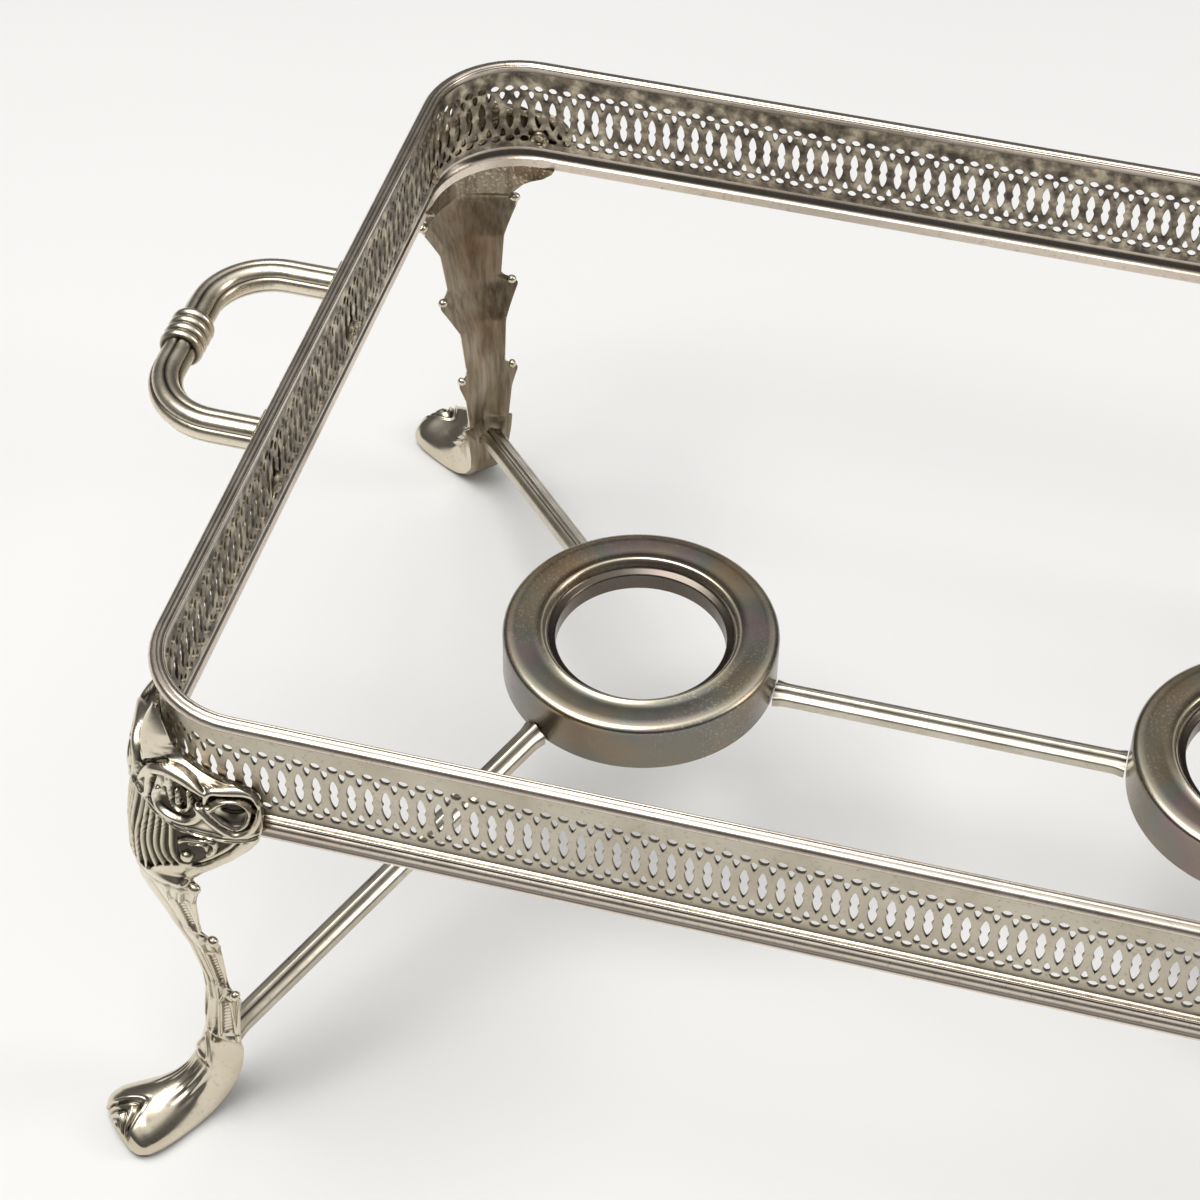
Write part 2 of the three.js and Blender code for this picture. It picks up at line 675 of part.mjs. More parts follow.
for (const corner of CORNERS) {
  const { name, group } = corner;
  const drills = LEG_RIVET_PLACES.map((run) => atCorner(rivetDrill(), run, LEG_RIVET_Z));
  addMesh(`gallery_corner_${name}`, cut(cornerPanel(), drills), DULL_SILVER(), group);
  addMesh(`top_rail_corner_${name}`, cornerRail(TOP_RAIL), SILVER(), group);
  addMesh(`bottom_rail_corner_${name}`, cornerRail(BOTTOM_RAIL), SILVER(), group);
  addMesh(`leg_${name}`, legGeometry(), SILVER(), group);
  LEG_RIVET_PLACES.forEach((run, k) => {
    const rivetName = `leg_rivet_${name}_${k + 1}`;
    addMesh(rivetName, atCorner(rivet(), run, LEG_RIVET_Z), DULL_SILVER(), group);
  });
  addMesh(`stretcher_${name}`, legStretcher(corner), SILVER());
}

for (const [name, side] of [["left", -1], ["right", 1]]) {
  addMesh(`burner_ring_${name}`, burnerRing(), TINTED()).position.x = side * RING_X;
}
const middleEnds = [-1, 1].map(
  (side) => new THREE.Vector3(side * (RING_X - RING_RADIUS - FIT), 0, BAR_RING_Z),
);
addMesh("stretcher_middle", stretcher(...middleEnds), SILVER());

export default stand;
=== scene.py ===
"""Looks for a silver-plated chafing dish stand: a pierced gallery on four cast cabriole legs,
with two riveted end handles and two burner rings carried by stretchers.

The frame gives every main place and size. Lengths typed here are in millimetres, and MM turns
them into metres when a mesh is made. Those of materials, lamps and camera are in metres."""

import math

import bmesh
import bpy
import numpy as np
from mathutils import Euler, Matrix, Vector
from mathutils.geometry import tessellate_polygon


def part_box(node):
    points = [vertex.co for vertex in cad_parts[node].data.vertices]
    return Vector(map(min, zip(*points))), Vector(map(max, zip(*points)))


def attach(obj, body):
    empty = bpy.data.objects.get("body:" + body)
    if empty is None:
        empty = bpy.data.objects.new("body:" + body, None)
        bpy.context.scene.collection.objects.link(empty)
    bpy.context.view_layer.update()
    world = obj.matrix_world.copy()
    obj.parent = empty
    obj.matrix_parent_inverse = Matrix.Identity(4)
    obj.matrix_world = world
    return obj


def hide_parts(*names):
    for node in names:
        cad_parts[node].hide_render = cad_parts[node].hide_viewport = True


MM = 0.001
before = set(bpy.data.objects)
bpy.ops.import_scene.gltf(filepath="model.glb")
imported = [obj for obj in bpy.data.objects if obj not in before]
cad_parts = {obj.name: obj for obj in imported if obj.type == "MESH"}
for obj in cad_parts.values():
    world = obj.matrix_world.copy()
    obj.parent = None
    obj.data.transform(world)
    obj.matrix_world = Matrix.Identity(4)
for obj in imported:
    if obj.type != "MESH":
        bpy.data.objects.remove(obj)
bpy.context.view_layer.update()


def cad_box(node):
    """The lowest and the highest corner of a CAD node, in millimetres."""
    low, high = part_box(node)
    return np.array(low) / MM, np.array(high) / MM


# Main sizes, from the frame
HALF_LENGTH = np.mean(cad_box("gallery_right"), axis=0)[0]
HALF_WIDTH = np.mean(cad_box("gallery_back"), axis=0)[1]
BAND_BOTTOM, BAND_TOP = (corner[2] for corner in cad_box("gallery_back"))
RAIL_FOOT = cad_box("bottom_rail_back")[0][2]
STRAIGHT_X, _, STAND_TOP = cad_box("top_rail_back")[1]  # X is where the long side's straight ends
CORNER_RADIUS = HALF_LENGTH - STRAIGHT_X
STRAIGHT_Y = HALF_WIDTH - CORNER_RADIUS
QUARTER = CORNER_RADIUS * math.pi / 2
SHEET = 0.9  # how thick the gallery is
FIT = 0.3  # the gap between pieces that touch
PERIMETER = 4 * (STRAIGHT_X + STRAIGHT_Y + QUARTER)
RING_X = np.mean(cad_box("burner_ring_right"), axis=0)[0]
RING_FOOT = cad_box("burner_ring_right")[0][2]
_, RING_RADIUS, RING_TOP = cad_box("burner_ring_right")[1]
CORNERS = [("front_left", -1, -1), ("front_right", 1, -1), ("back_right", 1, 1), ("back_left", -1, 1)]
SIDES = ["front", "right", "back", "left"]


# Mesh helpers
def face_outwards(mesh, merge=0.0):
    """Turns every face outwards, once points closer than a distance in metres are merged."""
    bm = bmesh.new()
    bm.from_mesh(mesh)
    if merge:
        bmesh.ops.remove_doubles(bm, verts=bm.verts, dist=merge)
    bmesh.ops.recalc_face_normals(bm, faces=bm.faces)
    bm.to_mesh(mesh)
    bm.free()


def shade(mesh, sharp):
    """Smooth but for edges sharper than an angle."""
    mesh.shade_smooth()
    mesh.set_sharp_from_angle(angle=math.radians(sharp))


def add_object(name, data):
    """A new object, put into the scene."""
    obj = bpy.data.objects.new(name, data)
    bpy.context.scene.collection.objects.link(obj)
    return obj


def make_object(name, points, faces, material, sharp, outwards=False):
    """A mesh object from points in millimetres."""
    mesh = bpy.data.meshes.new(name)
    mesh.from_pydata((np.asarray(points) * MM).tolist(), [], [list(map(int, f)) for f in faces])
    if outwards:
        face_outwards(mesh)
    shade(mesh, sharp)
    mesh.materials.append(material)
    return add_object(name, mesh)


def grid_faces(rows, columns, first=0, wrap_rows=False):
    """Quads over a grid of points whose rows are closed loops."""
    r, c = np.meshgrid(np.arange(rows if wrap_rows else rows - 1), np.arange(columns), indexing="ij")
    r, c = r.ravel(), c.ravel()
    r1, c1 = (r + 1) % rows, (c + 1) % columns
    quads = [r * columns + c, r * columns + c1, r1 * columns + c1, r1 * columns + c]
    return (first + np.stack(quads, axis=1)).tolist()


def closed_faces(rows, columns, first=0):
    """The same, with one more face over the first row and one over the last."""
    last = first + (rows - 1) * columns
    ends = [list(range(first, first + columns))[::-1], list(range(last, last + columns))]
    return grid_faces(rows, columns, first) + ends


def bell(x, middle, width):
    """1 in the middle, falling away smoothly on both sides."""
    return np.exp(-(((x - middle) / width) ** 2))


def rise(value, start, run):
    """0 up to a start, then up to 1 over a run."""
    return np.clip((value - start) / run, 0, 1)


def fall(value, end, run):
    """1, then down to 0 over the run before an end."""
    return np.clip((end - value) / run, 0, 1)


def window(value, low, high, soft):
    """1 between two limits, easing to 0 over a soft edge inside them."""
    return rise(value, low, soft) * fall(value, high, soft)


def turns(count):
    """Angles evenly round a circle."""
    return np.linspace(0, 2 * math.pi, count, endpoint=False)


def paint(obj, name, values):
    """Stores one number for each vertex, for a material to read."""
    attribute = obj.data.attributes.new(name, "FLOAT", "POINT")
    attribute.data.foreach_set("value", np.asarray(values, dtype=np.float32).ravel())


def settle(obj, slot, *nodes):
    """Says what a piece rides on and the CAD nodes that it stands for; its material slot is not used."""
    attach(obj, "root")
    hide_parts(*nodes)


def all_round(kind):
    """The CAD nodes of a strip that runs round the whole stand."""
    return [f"{kind}_{n}" for n in SIDES] + [f"{kind}_corner_{n}" for n, _, _ in CORNERS]


def spline(points, count):
    """Evenly spaced places on a smooth curve through the points."""
    p = np.asarray(points, float)
    p = np.vstack([2 * p[0] - p[1], p, 2 * p[-1] - p[-2]])
    out = []
    t = np.linspace(0, 1, 24, endpoint=False)[:, None]
    for a, b, c, d in zip(p[:-3], p[1:-2], p[2:-1], p[3:]):
        square, cube = 2 * a - 5 * b + 4 * c - d, 3 * b - a - 3 * c + d
        out.append(0.5 * (2 * b + (c - a) * t + square * t**2 + cube * t**3))
    fine = np.vstack(out + [p[-2][None]])
    run = np.concatenate([[0], np.cumsum(np.linalg.norm(np.diff(fine, axis=0), axis=1))])
    at = np.linspace(0, run[-1], count)
    return np.stack([np.interp(at, run, fine[:, k]) for k in range(fine.shape[1])], axis=1)


def placed(*parts):
    """Coordinates of any shapes that fit together, as points."""
    return np.stack(np.broadcast_arrays(*parts), axis=-1)


# The line of the sheet
def around(s, out, up):
    """Points at distances s round the sheet from the middle of the front side."""
    a, b, q = STRAIGHT_X, STRAIGHT_Y, QUARTER
    stops = np.cumsum([0, a, q, 2 * b, q, 2 * a, q, 2 * b, q, a])
    turn = np.radians([-90, -90, 0, 0, 90, 90, 180, 180, 270, 270])
    cx = [0, a, a, a, a, -a, -a, -a, -a, 0]
    cy = [-b, -b, -b, b, b, b, b, -b, -b, -b]
    s = np.mod(s, PERIMETER)
    angle = np.interp(s, stops, turn)
    radius = CORNER_RADIUS + out
    x = np.interp(s, stops, cx) + radius * np.cos(angle)
    y = np.interp(s, stops, cy) + radius * np.sin(angle)
    return placed(x, y, up)


def loop_stops():
    """Distances round the sheet where a smooth moulding needs a section."""
    per_corner, per_side = 14, 10
    stops, at = [], STRAIGHT_X
    for straight in (2 * STRAIGHT_Y, 2 * STRAIGHT_X) * 2:
        stops += list(at + np.linspace(0, QUARTER, per_corner))
        stops += list(at + QUARTER + np.linspace(0, straight, per_side)[1:-1])
        at += QUARTER + straight
    return np.array(stops)


def corner_point(distance, out, up):
    """Points at distances from a corner's middle, in a frame with the arc's centre at the origin
    and +Y outwards."""
    half = QUARTER / 2
    on = np.clip(distance, -half, half)
    angle = on / CORNER_RADIUS
    past = distance - on
    radius = CORNER_RADIUS + out
    x = radius * np.sin(angle) + past * np.cos(angle)
    y = radius * np.cos(angle) - past * np.sin(angle)
    return placed(x, y, up)


def to_corner(points, side_x, side_y):
    """From a corner's own frame to the stand's."""
    turn = math.atan2(side_y, side_x) - math.pi / 2
    c, s = math.cos(turn), math.sin(turn)
    along, out, up = np.moveaxis(points, -1, 0)
    x = side_x * STRAIGHT_X + c * along - s * out
    y = side_y * STRAIGHT_Y + s * along + c * out
    return placed(x, y, up)


# Materials
def shader(name, metallic=1.0):
    material = bpy.data.materials.new(name)
    material.use_nodes = True
    tree = material.node_tree
    bsdf = tree.nodes["Principled BSDF"]
    bsdf.inputs["Metallic"].default_value = metallic
    return material, tree, bsdf


def node(tree, kind, **values):
    """A new node. Each value goes to the input of its name, or else to the property."""
    made = tree.nodes.new(kind)
    for key, value in values.items():
        if key in made.inputs:
            made.inputs[key].default_value = value
        else:
            setattr(made, key, value)
    return made


def noise(tree, scale, detail, stretch=(1, 1, 1)):
    coords = node(tree, "ShaderNodeTexCoord")
    mapping = node(tree, "ShaderNodeMapping")
    mapping.inputs["Scale"].default_value = stretch
    tree.links.new(coords.outputs["Object"], mapping.inputs["Vector"])
    made = node(tree, "ShaderNodeTexNoise", Scale=scale, Detail=detail, Roughness=0.55)
    tree.links.new(mapping.outputs["Vector"], made.inputs["Vector"])
    return made.outputs["Fac"]


def ramp(tree, fac, stops):
    made = node(tree, "ShaderNodeValToRGB")
    elements = made.color_ramp.elements
    while len(elements) < len(stops):
        elements.new(0.5)
    for element, (at, color) in zip(elements, stops):
        element.position = at
        element.color = (*color, 1)
    tree.links.new(fac, made.inputs["Fac"])
    return made.outputs["Color"]


def height(tree, coordinates):
    """How high a place lies, in the named texture coordinates."""
    split = node(tree, "ShaderNodeSeparateXYZ")
    tree.links.new(node(tree, "ShaderNodeTexCoord").outputs[coordinates], split.inputs[0])
    return split.outputs["Z"]


def fade(tree, fac, low, high, start=0.0, end=1.0):
    """A grey that goes from start to end between two places."""
    return ramp(tree, fac, [(low, (start,) * 3), (high, (end,) * 3)])


def mix(tree, fac, a, b):
    made = node(tree, "ShaderNodeMix", data_type="RGBA")
    for value, socket in ((fac, 0), (a, 6), (b, 7)):
        if isinstance(value, bpy.types.NodeSocket):
            tree.links.new(value, made.inputs[socket])
        elif isinstance(value, float):
            made.inputs[socket].default_value = value
        else:
            made.inputs[socket].default_value = (*value, 1)
    return made.outputs[2]


def painted(tree, name):
    """What paint has stored under a name."""
    return node(tree, "ShaderNodeAttribute", attribute_name=name).outputs["Fac"]


def link_skin(tree, bsdf, base, grain, rough):
    """Gives a shader its colour, and a roughness that follows a grain between two values."""
    tree.links.new(base, bsdf.inputs["Base Color"])
    tree.links.new(fade(tree, grain, 0.3, 0.7, *rough), bsdf.inputs["Roughness"])


def link_bump(tree, bsdf, height, strength):
    made = node(tree, "ShaderNodeBump", Strength=strength, Distance=0.0005)
    tree.links.new(height, made.inputs["Height"])
    tree.links.new(made.outputs["Normal"], bsdf.inputs["Normal"])


def silver(name, bright, dirt_and_shade, rough, dirt_amount, bump, attribute=None):
    """Worn silver plate: tarnished clouds, painted shade in hollows and where parts meet that also stands
    for a dull film there, and a faint hammered skin.
    """
    material, tree, bsdf = shader(name)
    tone = ramp(tree, noise(tree, 60, 6), [(0.3, dirt_and_shade), (0.62, bright)])
    base = mix(tree, dirt_amount, bright, tone)
    base = mix(tree, fade(tree, noise(tree, 900, 3), 0.3, 0.42), [c * 0.72 for c in bright], base)
    # Painted shade: occlusion darkens hollows and places where parts meet, standing also for a dull film
    # there.
    corner = node(tree, "ShaderNodeAmbientOcclusion", samples=6, Distance=0.0012)
    shade_and_grime = fade(tree, corner.outputs["AO"], 0.1, 0.72, 1.0, 0.0)
    base = mix(tree, shade_and_grime, base, [c * 0.16 for c in dirt_and_shade])
    # Paint darkens its places nearly to black: painted shade and reflection on the rails, dark grooves and
    # hollows on the other pieces.
    if attribute:
        base = mix(tree, painted(tree, attribute), base, [c * 0.1 for c in dirt_and_shade])
    link_skin(tree, bsdf, base, noise(tree, 140, 5), rough)
    if bump:
        link_bump(tree, bsdf, noise(tree, 420, 3), bump)
    return material


def inside_silver():
    """The gallery's inside: dark grey-brown with worn gold specks."""
    material, tree, bsdf = shader("inside_silver")
    stops = [(0.36, (0.10, 0.085, 0.07)), (0.5, (0.26, 0.22, 0.17)), (0.66, (0.62, 0.55, 0.42))]
    link_skin(tree, bsdf, ramp(tree, noise(tree, 260, 6), stops), noise(tree, 200, 4), (0.34, 0.55))
    return material


def leg_back_silver():
    """The legs' unpolished backs: brown, brushed downwards, with rusty stains, and pale chips at
    the top only."""
    material, tree, bsdf = shader("leg_back_silver")
    brushed = noise(tree, 700, 3, (1, 1, 0.06))
    base = ramp(tree, brushed, [(0.32, (0.19, 0.15, 0.10)), (0.68, (0.40, 0.34, 0.25))])
    stain = fade(tree, noise(tree, 45, 3), 0.5, 0.7, 0.0, 0.6)
    base = mix(tree, stain, base, (0.20, 0.11, 0.05))
    patch = fade(tree, height(tree, "Object"), 0.095, 0.115)
    chips = fade(tree, noise(tree, 1000, 2), 0.58, 0.62)
    base = mix(tree, patch, base, mix(tree, chips, base, (0.74, 0.66, 0.50)))
    link_skin(tree, bsdf, base, brushed, (0.30, 0.44))
    return material


def ring_silver():
    """Plate that heat has tinted: bronze, with blue-green, purple and rust drifting round it, with a
    painted highlight on its rounded edges and painted shade below its top.
    """
    material, tree, bsdf = shader("ring_silver")
    broad = ramp(tree, noise(tree, 26, 2), [
        (0.28, (0.39, 0.26, 0.15)), (0.42, (0.33, 0.27, 0.19)), (0.52, (0.25, 0.26, 0.22)),
        (0.60, (0.31, 0.24, 0.23)), (0.74, (0.38, 0.31, 0.22))])
    patch = fade(tree, noise(tree, 34, 2), 0.46, 0.62, 0.0, 0.75)
    worn = fade(tree, noise(tree, 1500, 3), 0.56, 0.66)
    base = mix(tree, patch, broad, mix(tree, worn, broad, (0.60, 0.52, 0.41)))
    # Painted shade: darker below the top, most of all round the hole.
    base = mix(tree, painted(tree, "dark"), base, (0.12, 0.10, 0.085))
    # Painted highlight: pale on the rounded shoulder and the inner lip near the top.
    base = mix(tree, painted(tree, "edge"), base, (0.80, 0.71, 0.55))
    link_skin(tree, bsdf, base, noise(tree, 90, 3), (0.2, 0.32))
    link_bump(tree, bsdf, noise(tree, 300, 4), 0.03)
    return material


# Each silver's bright colour, dirty colour (which, darkened, also gives its painted shade), roughness from
# and to, share of dirt, and bump
RAIL_SILVER = silver(
    "rail_silver", (0.78, 0.69, 0.585), (0.60, 0.48, 0.40), (0.16, 0.30), 0.4, 0.03, "hollow")
SHEET_SILVER = silver("sheet_silver", (0.60, 0.55, 0.45), (0.44, 0.38, 0.29), (0.38, 0.50), 0.6, 0.08)
LEG_SILVER = silver(
    "leg_silver", (0.78, 0.71, 0.575), (0.52, 0.44, 0.31), (0.12, 0.26), 0.5, 0.03, "hollow")
HANDLE_SILVER = silver(
    "handle_silver", (0.80, 0.72, 0.58), (0.64, 0.55, 0.41), (0.2, 0.34), 0.5, 0.06, "hollow")
BAR_SILVER = silver(
    "bar_silver", (0.66, 0.61, 0.51), (0.40, 0.34, 0.26), (0.24, 0.42), 0.7, 0.1, "hollow")
WALL_SILVER = silver("wall_silver", (0.22, 0.18, 0.13), (0.12, 0.09, 0.06), (0.4, 0.5), 0.6, 0)
INSIDE_SILVER = inside_silver()
LEG_BACK_SILVER = leg_back_silver()
RING_SILVER = ring_silver()

# Gallery piercing: levels above the floor, and half the size of each kind of hole
SLOT_Z, SLOT_HALF, SLOT_LOBE, SLOT_WAIST = 134.35, 4.75, 1.14, 0.68
OVAL_HIGH_Z, OVAL_LOW_Z, OVAL_LONG, OVAL_SHORT = 142.7, 126.0, 1.22, 1.06
DROP_HIGH_Z, DROP_LOW_Z, DROP_WIDE, DROP_TALL = 140.4, 128.3, 1.05, 1.42
PITCH = 4.0
CELL_REACH = 5.2  # how far a corner's cells go on along the straight sides
EDGE = 0.13  # the rounded edge of each hole


def slot_outline():
    """A figure of two pointed lobes, one above the other, with a notched waist."""
    side = []
    for t in np.linspace(-1, 1, 17)[1:-1]:
        lobe = SLOT_LOBE * (1 - abs(t) ** 2.2) ** 0.8
        notch = (SLOT_LOBE - SLOT_WAIST) * bell(t, 0, 0.13)
        side.append((lobe - notch, t * SLOT_HALF))
    right = [(x, z + SLOT_Z) for x, z in side]
    left = [(-x, z + SLOT_Z) for x, z in reversed(side)]
    return [(0, SLOT_Z - SLOT_HALF)] + right + [(0, SLOT_Z + SLOT_HALF)] + left


def oval_outline(z):
    """An eye, slightly pointed at both ends."""
    points = []
    for a in turns(12):
        tall = OVAL_SHORT * math.sin(a) * abs(math.sin(a)) ** 0.2
        points.append((OVAL_LONG * math.cos(a), z + tall))
    return points


def drop_outline(x, z, down):
    """A teardrop with its point down or up."""
    points = []
    for a in turns(12):
        wide = DROP_WIDE * math.cos(a) * (0.68 + 0.32 * math.sin(a))
        points.append((x + wide, z + (1 if down else -1) * DROP_TALL * math.sin(a)))
    return points if down else points[::-1]


def grown(outline, by):
    """The outline moved outwards by a distance."""
    p = np.array(outline)
    t = np.roll(p, -1, axis=0) - np.roll(p, 1, axis=0)
    n = np.stack([t[:, 1], -t[:, 0]], axis=1) / np.maximum(np.linalg.norm(t, axis=1), 1e-9)[:, None]
    return (p + by * n).tolist()


def cell_border(half):
    """A cell's right and left edges, which step round the teardrops that stand on them."""
    steps = [(0, BAND_BOTTOM), (0, 125.6), (0.28, 126.0), (0.7, 126.5), (1.08, 127.3), (1.08, 129.9)]
    steps += [(0, 130.9), (0, 137.8), (1.08, 138.8), (1.08, 141.3), (0.7, 142.1), (0.28, 142.6)]
    steps += [(0, 143.1), (0, BAND_TOP)]
    return [(half + d, z) for d, z in steps], [(-half + d, z) for d, z in steps]


def gallery_layout():
    """(start, end) of every cell round the sheet, with whole cells on each side and corner."""
    front, end, corner = STRAIGHT_X - CELL_REACH, STRAIGHT_Y - CELL_REACH, QUARTER + 2 * CELL_REACH
    at = -front
    cells = []
    for run in (2 * front, corner, 2 * end, corner) * 2:
        count = round(run / PITCH)
        edges = at + np.linspace(0, run, count + 1)
        cells += list(zip(edges[:-1], edges[1:]))
        at += run
    return cells


def build_gallery():
    half = PITCH / 2
    right, left = cell_border(half)
    holes = [slot_outline(), oval_outline(OVAL_HIGH_Z), oval_outline(OVAL_LOW_Z)]
    holes += [drop_outline(half, DROP_HIGH_Z, True), drop_outline(half, DROP_LOW_Z, False)]
    wide = [grown(h, EDGE) for h in holes]
    border = right + left[::-1]
    flat = np.array(border + sum(wide, []))
    tris = np.array(tessellate_polygon([[Vector((x, z, 0)) for x, z in loop] for loop in [border] + wide]))
    narrow = np.array(sum(holes, []))
    n_flat, n_hole, n_border = len(flat), len(narrow), len(border)
    points, faces, wall_faces, inner_faces = [], [], [], []
    per_cell = 2 * n_flat + 2 * n_hole
    depth = SHEET / 2 - EDGE
    for k, (s0, s1) in enumerate(gallery_layout()):
        mid, scale = (s0 + s1) / 2, (s1 - s0) / PITCH
        for pattern, out in ((flat, SHEET / 2), (narrow, depth), (narrow, -depth), (flat, -SHEET / 2)):
            points.append(around(mid + pattern[:, 0] * scale, out, pattern[:, 1]))
        base = k * per_cell
        low = base + n_flat + 2 * n_hole
        faces += (base + tris).tolist()
        inner_faces += (low + tris[:, ::-1]).tolist()
        start = 0
        for loop in holes:
            at = np.arange(len(loop))
            i, j = start + at, start + (at + 1) % len(loop)
            a, b = base + n_border + i, base + n_border + j
            c, d = base + n_flat + i, base + n_flat + j
            e, f = c + n_hole, d + n_hole
            g, h = low + n_border + i, low + n_border + j
            faces += np.stack([a, b, d, c], axis=1).tolist()
            wall_faces += np.stack([c, d, f, e], axis=1).tolist()
            inner_faces += np.stack([e, f, h, g], axis=1).tolist()
            start += len(loop)
        for a, b in ((n_border - 1, 0), (len(right) - 1, len(right))):
            faces.append([base + a, base + b, low + b, low + a])
    every = faces + wall_faces + inner_faces
    obj = make_object("gallery_strip", np.vstack(points), every, SHEET_SILVER, 25)
    mesh = obj.data
    mesh.materials.append(INSIDE_SILVER)
    mesh.materials.append(WALL_SILVER)
    which = np.repeat([0, 2, 1], [len(faces), len(wall_faces), len(inner_faces)])
    mesh.polygons.foreach_set("material_index", which.astype(np.int32))
    face_outwards(mesh, merge=2e-6)
    shade(mesh, 25)
    settle(obj, "dull_silver", *all_round("gallery"))


# Rails. Sections are places (out from the sheet's middle, up).
def arc(x0, z0, x1, z1, bulge, count=6):
    """Points from one place to the next on a curve that bulges to the left of the way."""
    wide, tall = x1 - x0, z1 - z0
    points = []
    for k in np.linspace(0, 1, count, endpoint=False):
        lift = math.sin(math.pi * k)
        points.append((x0 + wide * k - tall * bulge * lift, z0 + tall * k + wide * bulge * lift))
    return points


def moulding(name, section, painted_shade):
    """Sweeps a section round the whole sheet; the last argument says how dark each place in it is painted,
    as shade and reflection, with some dark lines.
    """
    s = loop_stops()
    out, up = np.array(section).T
    points = around(s[:, None], out, up).reshape(-1, 3)
    faces = grid_faces(len(s), len(out), wrap_rows=True)
    obj = make_object(name, points, faces, RAIL_SILVER, 50, outwards=True)
    paint(obj, "hollow", np.tile(painted_shade(out, up), len(s)))
    settle(obj, "bright_silver", *all_round(name))


def top_lines_and_shade(out, z):
    """Dark lines on both sides of the top rail's middle reed, and a dark underside that is painted shade.
    """
    lines = 0.75 * (bell(out, 0.05, 0.1) + bell(out, -1.15, 0.1)) * (z > STAND_TOP - 1)
    under = 0.85 * fall(z, BAND_TOP + 1.0, 0.5)
    return np.clip(lines + under, 0, 1)


def bottom_reflection_and_shade(out, z):
    """Painted reflection and shade: a dark line just below the sheet, the bead's lower half and most of the
    lip dark; the lip's lowest edge keeps the plain silver.
    """
    down = BAND_BOTTOM - z
    groove = bell(down, 0.97, 0.15) * 0.85
    under = 0.85 * rise(down, 2.3, 0.6) * rise(z, RAIL_FOOT + 0.6, 0.3) * (out > 0.9)
    return np.clip(groove + under, 0, 1)


def build_rails():
    top, low = STAND_TOP, BAND_TOP
    section = [(0.45, low), (1.2, low + 0.02)]
    section += arc(1.5, low + 0.25, 1.94, low + 1.0, -0.15)
    section += arc(1.94, low + 1.0, 0.05, top - 0.32, -0.22, 12)
    section += arc(0.05, top - 0.32, -1.15, top - 0.5, -0.22, 9)
    section += arc(-1.15, top - 0.5, -1.8, top - 0.85, -0.3)
    section += [(-1.8, top - 0.85), (-1.8, low + 0.45), (-1.6, low + 0.2), (-0.45, low)]
    moulding("top_rail", section, top_lines_and_shade)
    high, foot = BAND_BOTTOM, RAIL_FOOT
    section = [(-0.45, high), (-0.45, high - 0.9), (1.2, high - 1.2), (2.3, high - 2.5)]
    section += [(1.6, high - 4.2), (0.45, high - 4.9), (0.45, foot), (1.1, foot), (1.25, foot + 0.3)]
    section += [(1.24, foot + 0.6), (1.23, foot + 0.9), (1.2, high - 5.0)]
    section += arc(1.5, high - 4.9, 3.19, high - 2.6, -0.2, 7)
    section += arc(3.19, high - 2.6, 1.9, high - 1.0, -0.16)
    section += arc(1.9, high - 0.95, 1.25, high - 0.4, -0.3, 5)
    section += arc(1.2, high - 0.35, 0.5, high, 0.15, 4)
    moulding("bottom_rail", section, bottom_reflection_and_shade)


# Burner rings and the bars that carry them
RING_WALL, RING_HOLE, RING_LEDGE = 1.0, 22.1, 24.1  # radii, but for the wall
RING_STEPS = 160
BAR_LEG_Z, BAR_RING_Z, BAR_WIDTH, BAR_DEPTH = 25.6, RING_TOP - 11, 6.4, 4.2
LEG_BACK = 6.0  # how far inside the corner's line the back of a leg stands


def lathe(name, profile, material, count, sharp, place):
    """Spins a closed profile of (radius, height) about +Z, then puts its points in place."""
    a = turns(count)[:, None]
    r, h = np.array(profile).T
    points = placed(r * np.cos(a), r * np.sin(a), h).reshape(-1, 3)
    return make_object(name, place(points), grid_faces(count, len(r), wrap_rows=True), material, sharp)


def build_rings():
    top, foot, rim, hole, ledge = RING_TOP, RING_FOOT, RING_RADIUS, RING_HOLE, RING_LEDGE
    skin = [(rim, foot), (rim, top - 3.2)]
    skin += arc(rim, top - 2.6, rim - 1.4, top - 0.35, -0.22)
    skin += arc(rim - 1.4, top - 0.35, rim - 2.6, top - 0.3, 0.0, 2)
    skin += arc(rim - 3.1, top - 0.12, ledge + 3.1, top - 0.3, -0.012, 8)
    skin += arc(ledge + 2.4, top - 0.2, ledge + 0.6, top - 0.5, -0.3, 5)
    skin += arc(ledge + 0.2, top - 1.3, hole + 1.0, top - 2.5, 0.2, 5)
    skin += arc(hole + 0.7, top - 2.7, hole, top - 3.8, -0.25, 5)
    skin += [(hole, top - 4.5), (hole, top - 7.8)]
    inner, outer = hole + RING_WALL, rim - RING_WALL
    inside = [(inner, top - 7.8), (inner, top - 3.9), (ledge + 1.6, top - 1.5)]
    inside += [(rim - 2.2, top - 1.3), (outer, top - 2.8), (outer, foot)]
    r, z = np.array(skin + inside).T
    # Painted highlight: the rounded shoulder and the inner lip, near the top.
    shoulder, lip = bell(r, rim - 1.6, 0.5), bell(r, ledge + 1.4, 0.6)
    edge = np.clip((shoulder + 0.8 * lip) * (z > top - 1.2), 0, 1)
    # Painted shade: darker below the top, most of all round the hole.
    dark = fall(z, top - 0.9, 1.5) * np.where(r < ledge + 2, 0.9, 0.45)
    for name, side in (("left", -1), ("right", 1)):
        shift = np.array([side * RING_X, 0, 0])
        obj = lathe(f"ring_{name}", skin + inside, RING_SILVER, RING_STEPS, 40, lambda p: p + shift)
        paint(obj, "edge", np.tile(edge, RING_STEPS))
        paint(obj, "dark", np.tile(dark, RING_STEPS))
        settle(obj, "tarnished_silver", f"burner_ring_{name}")


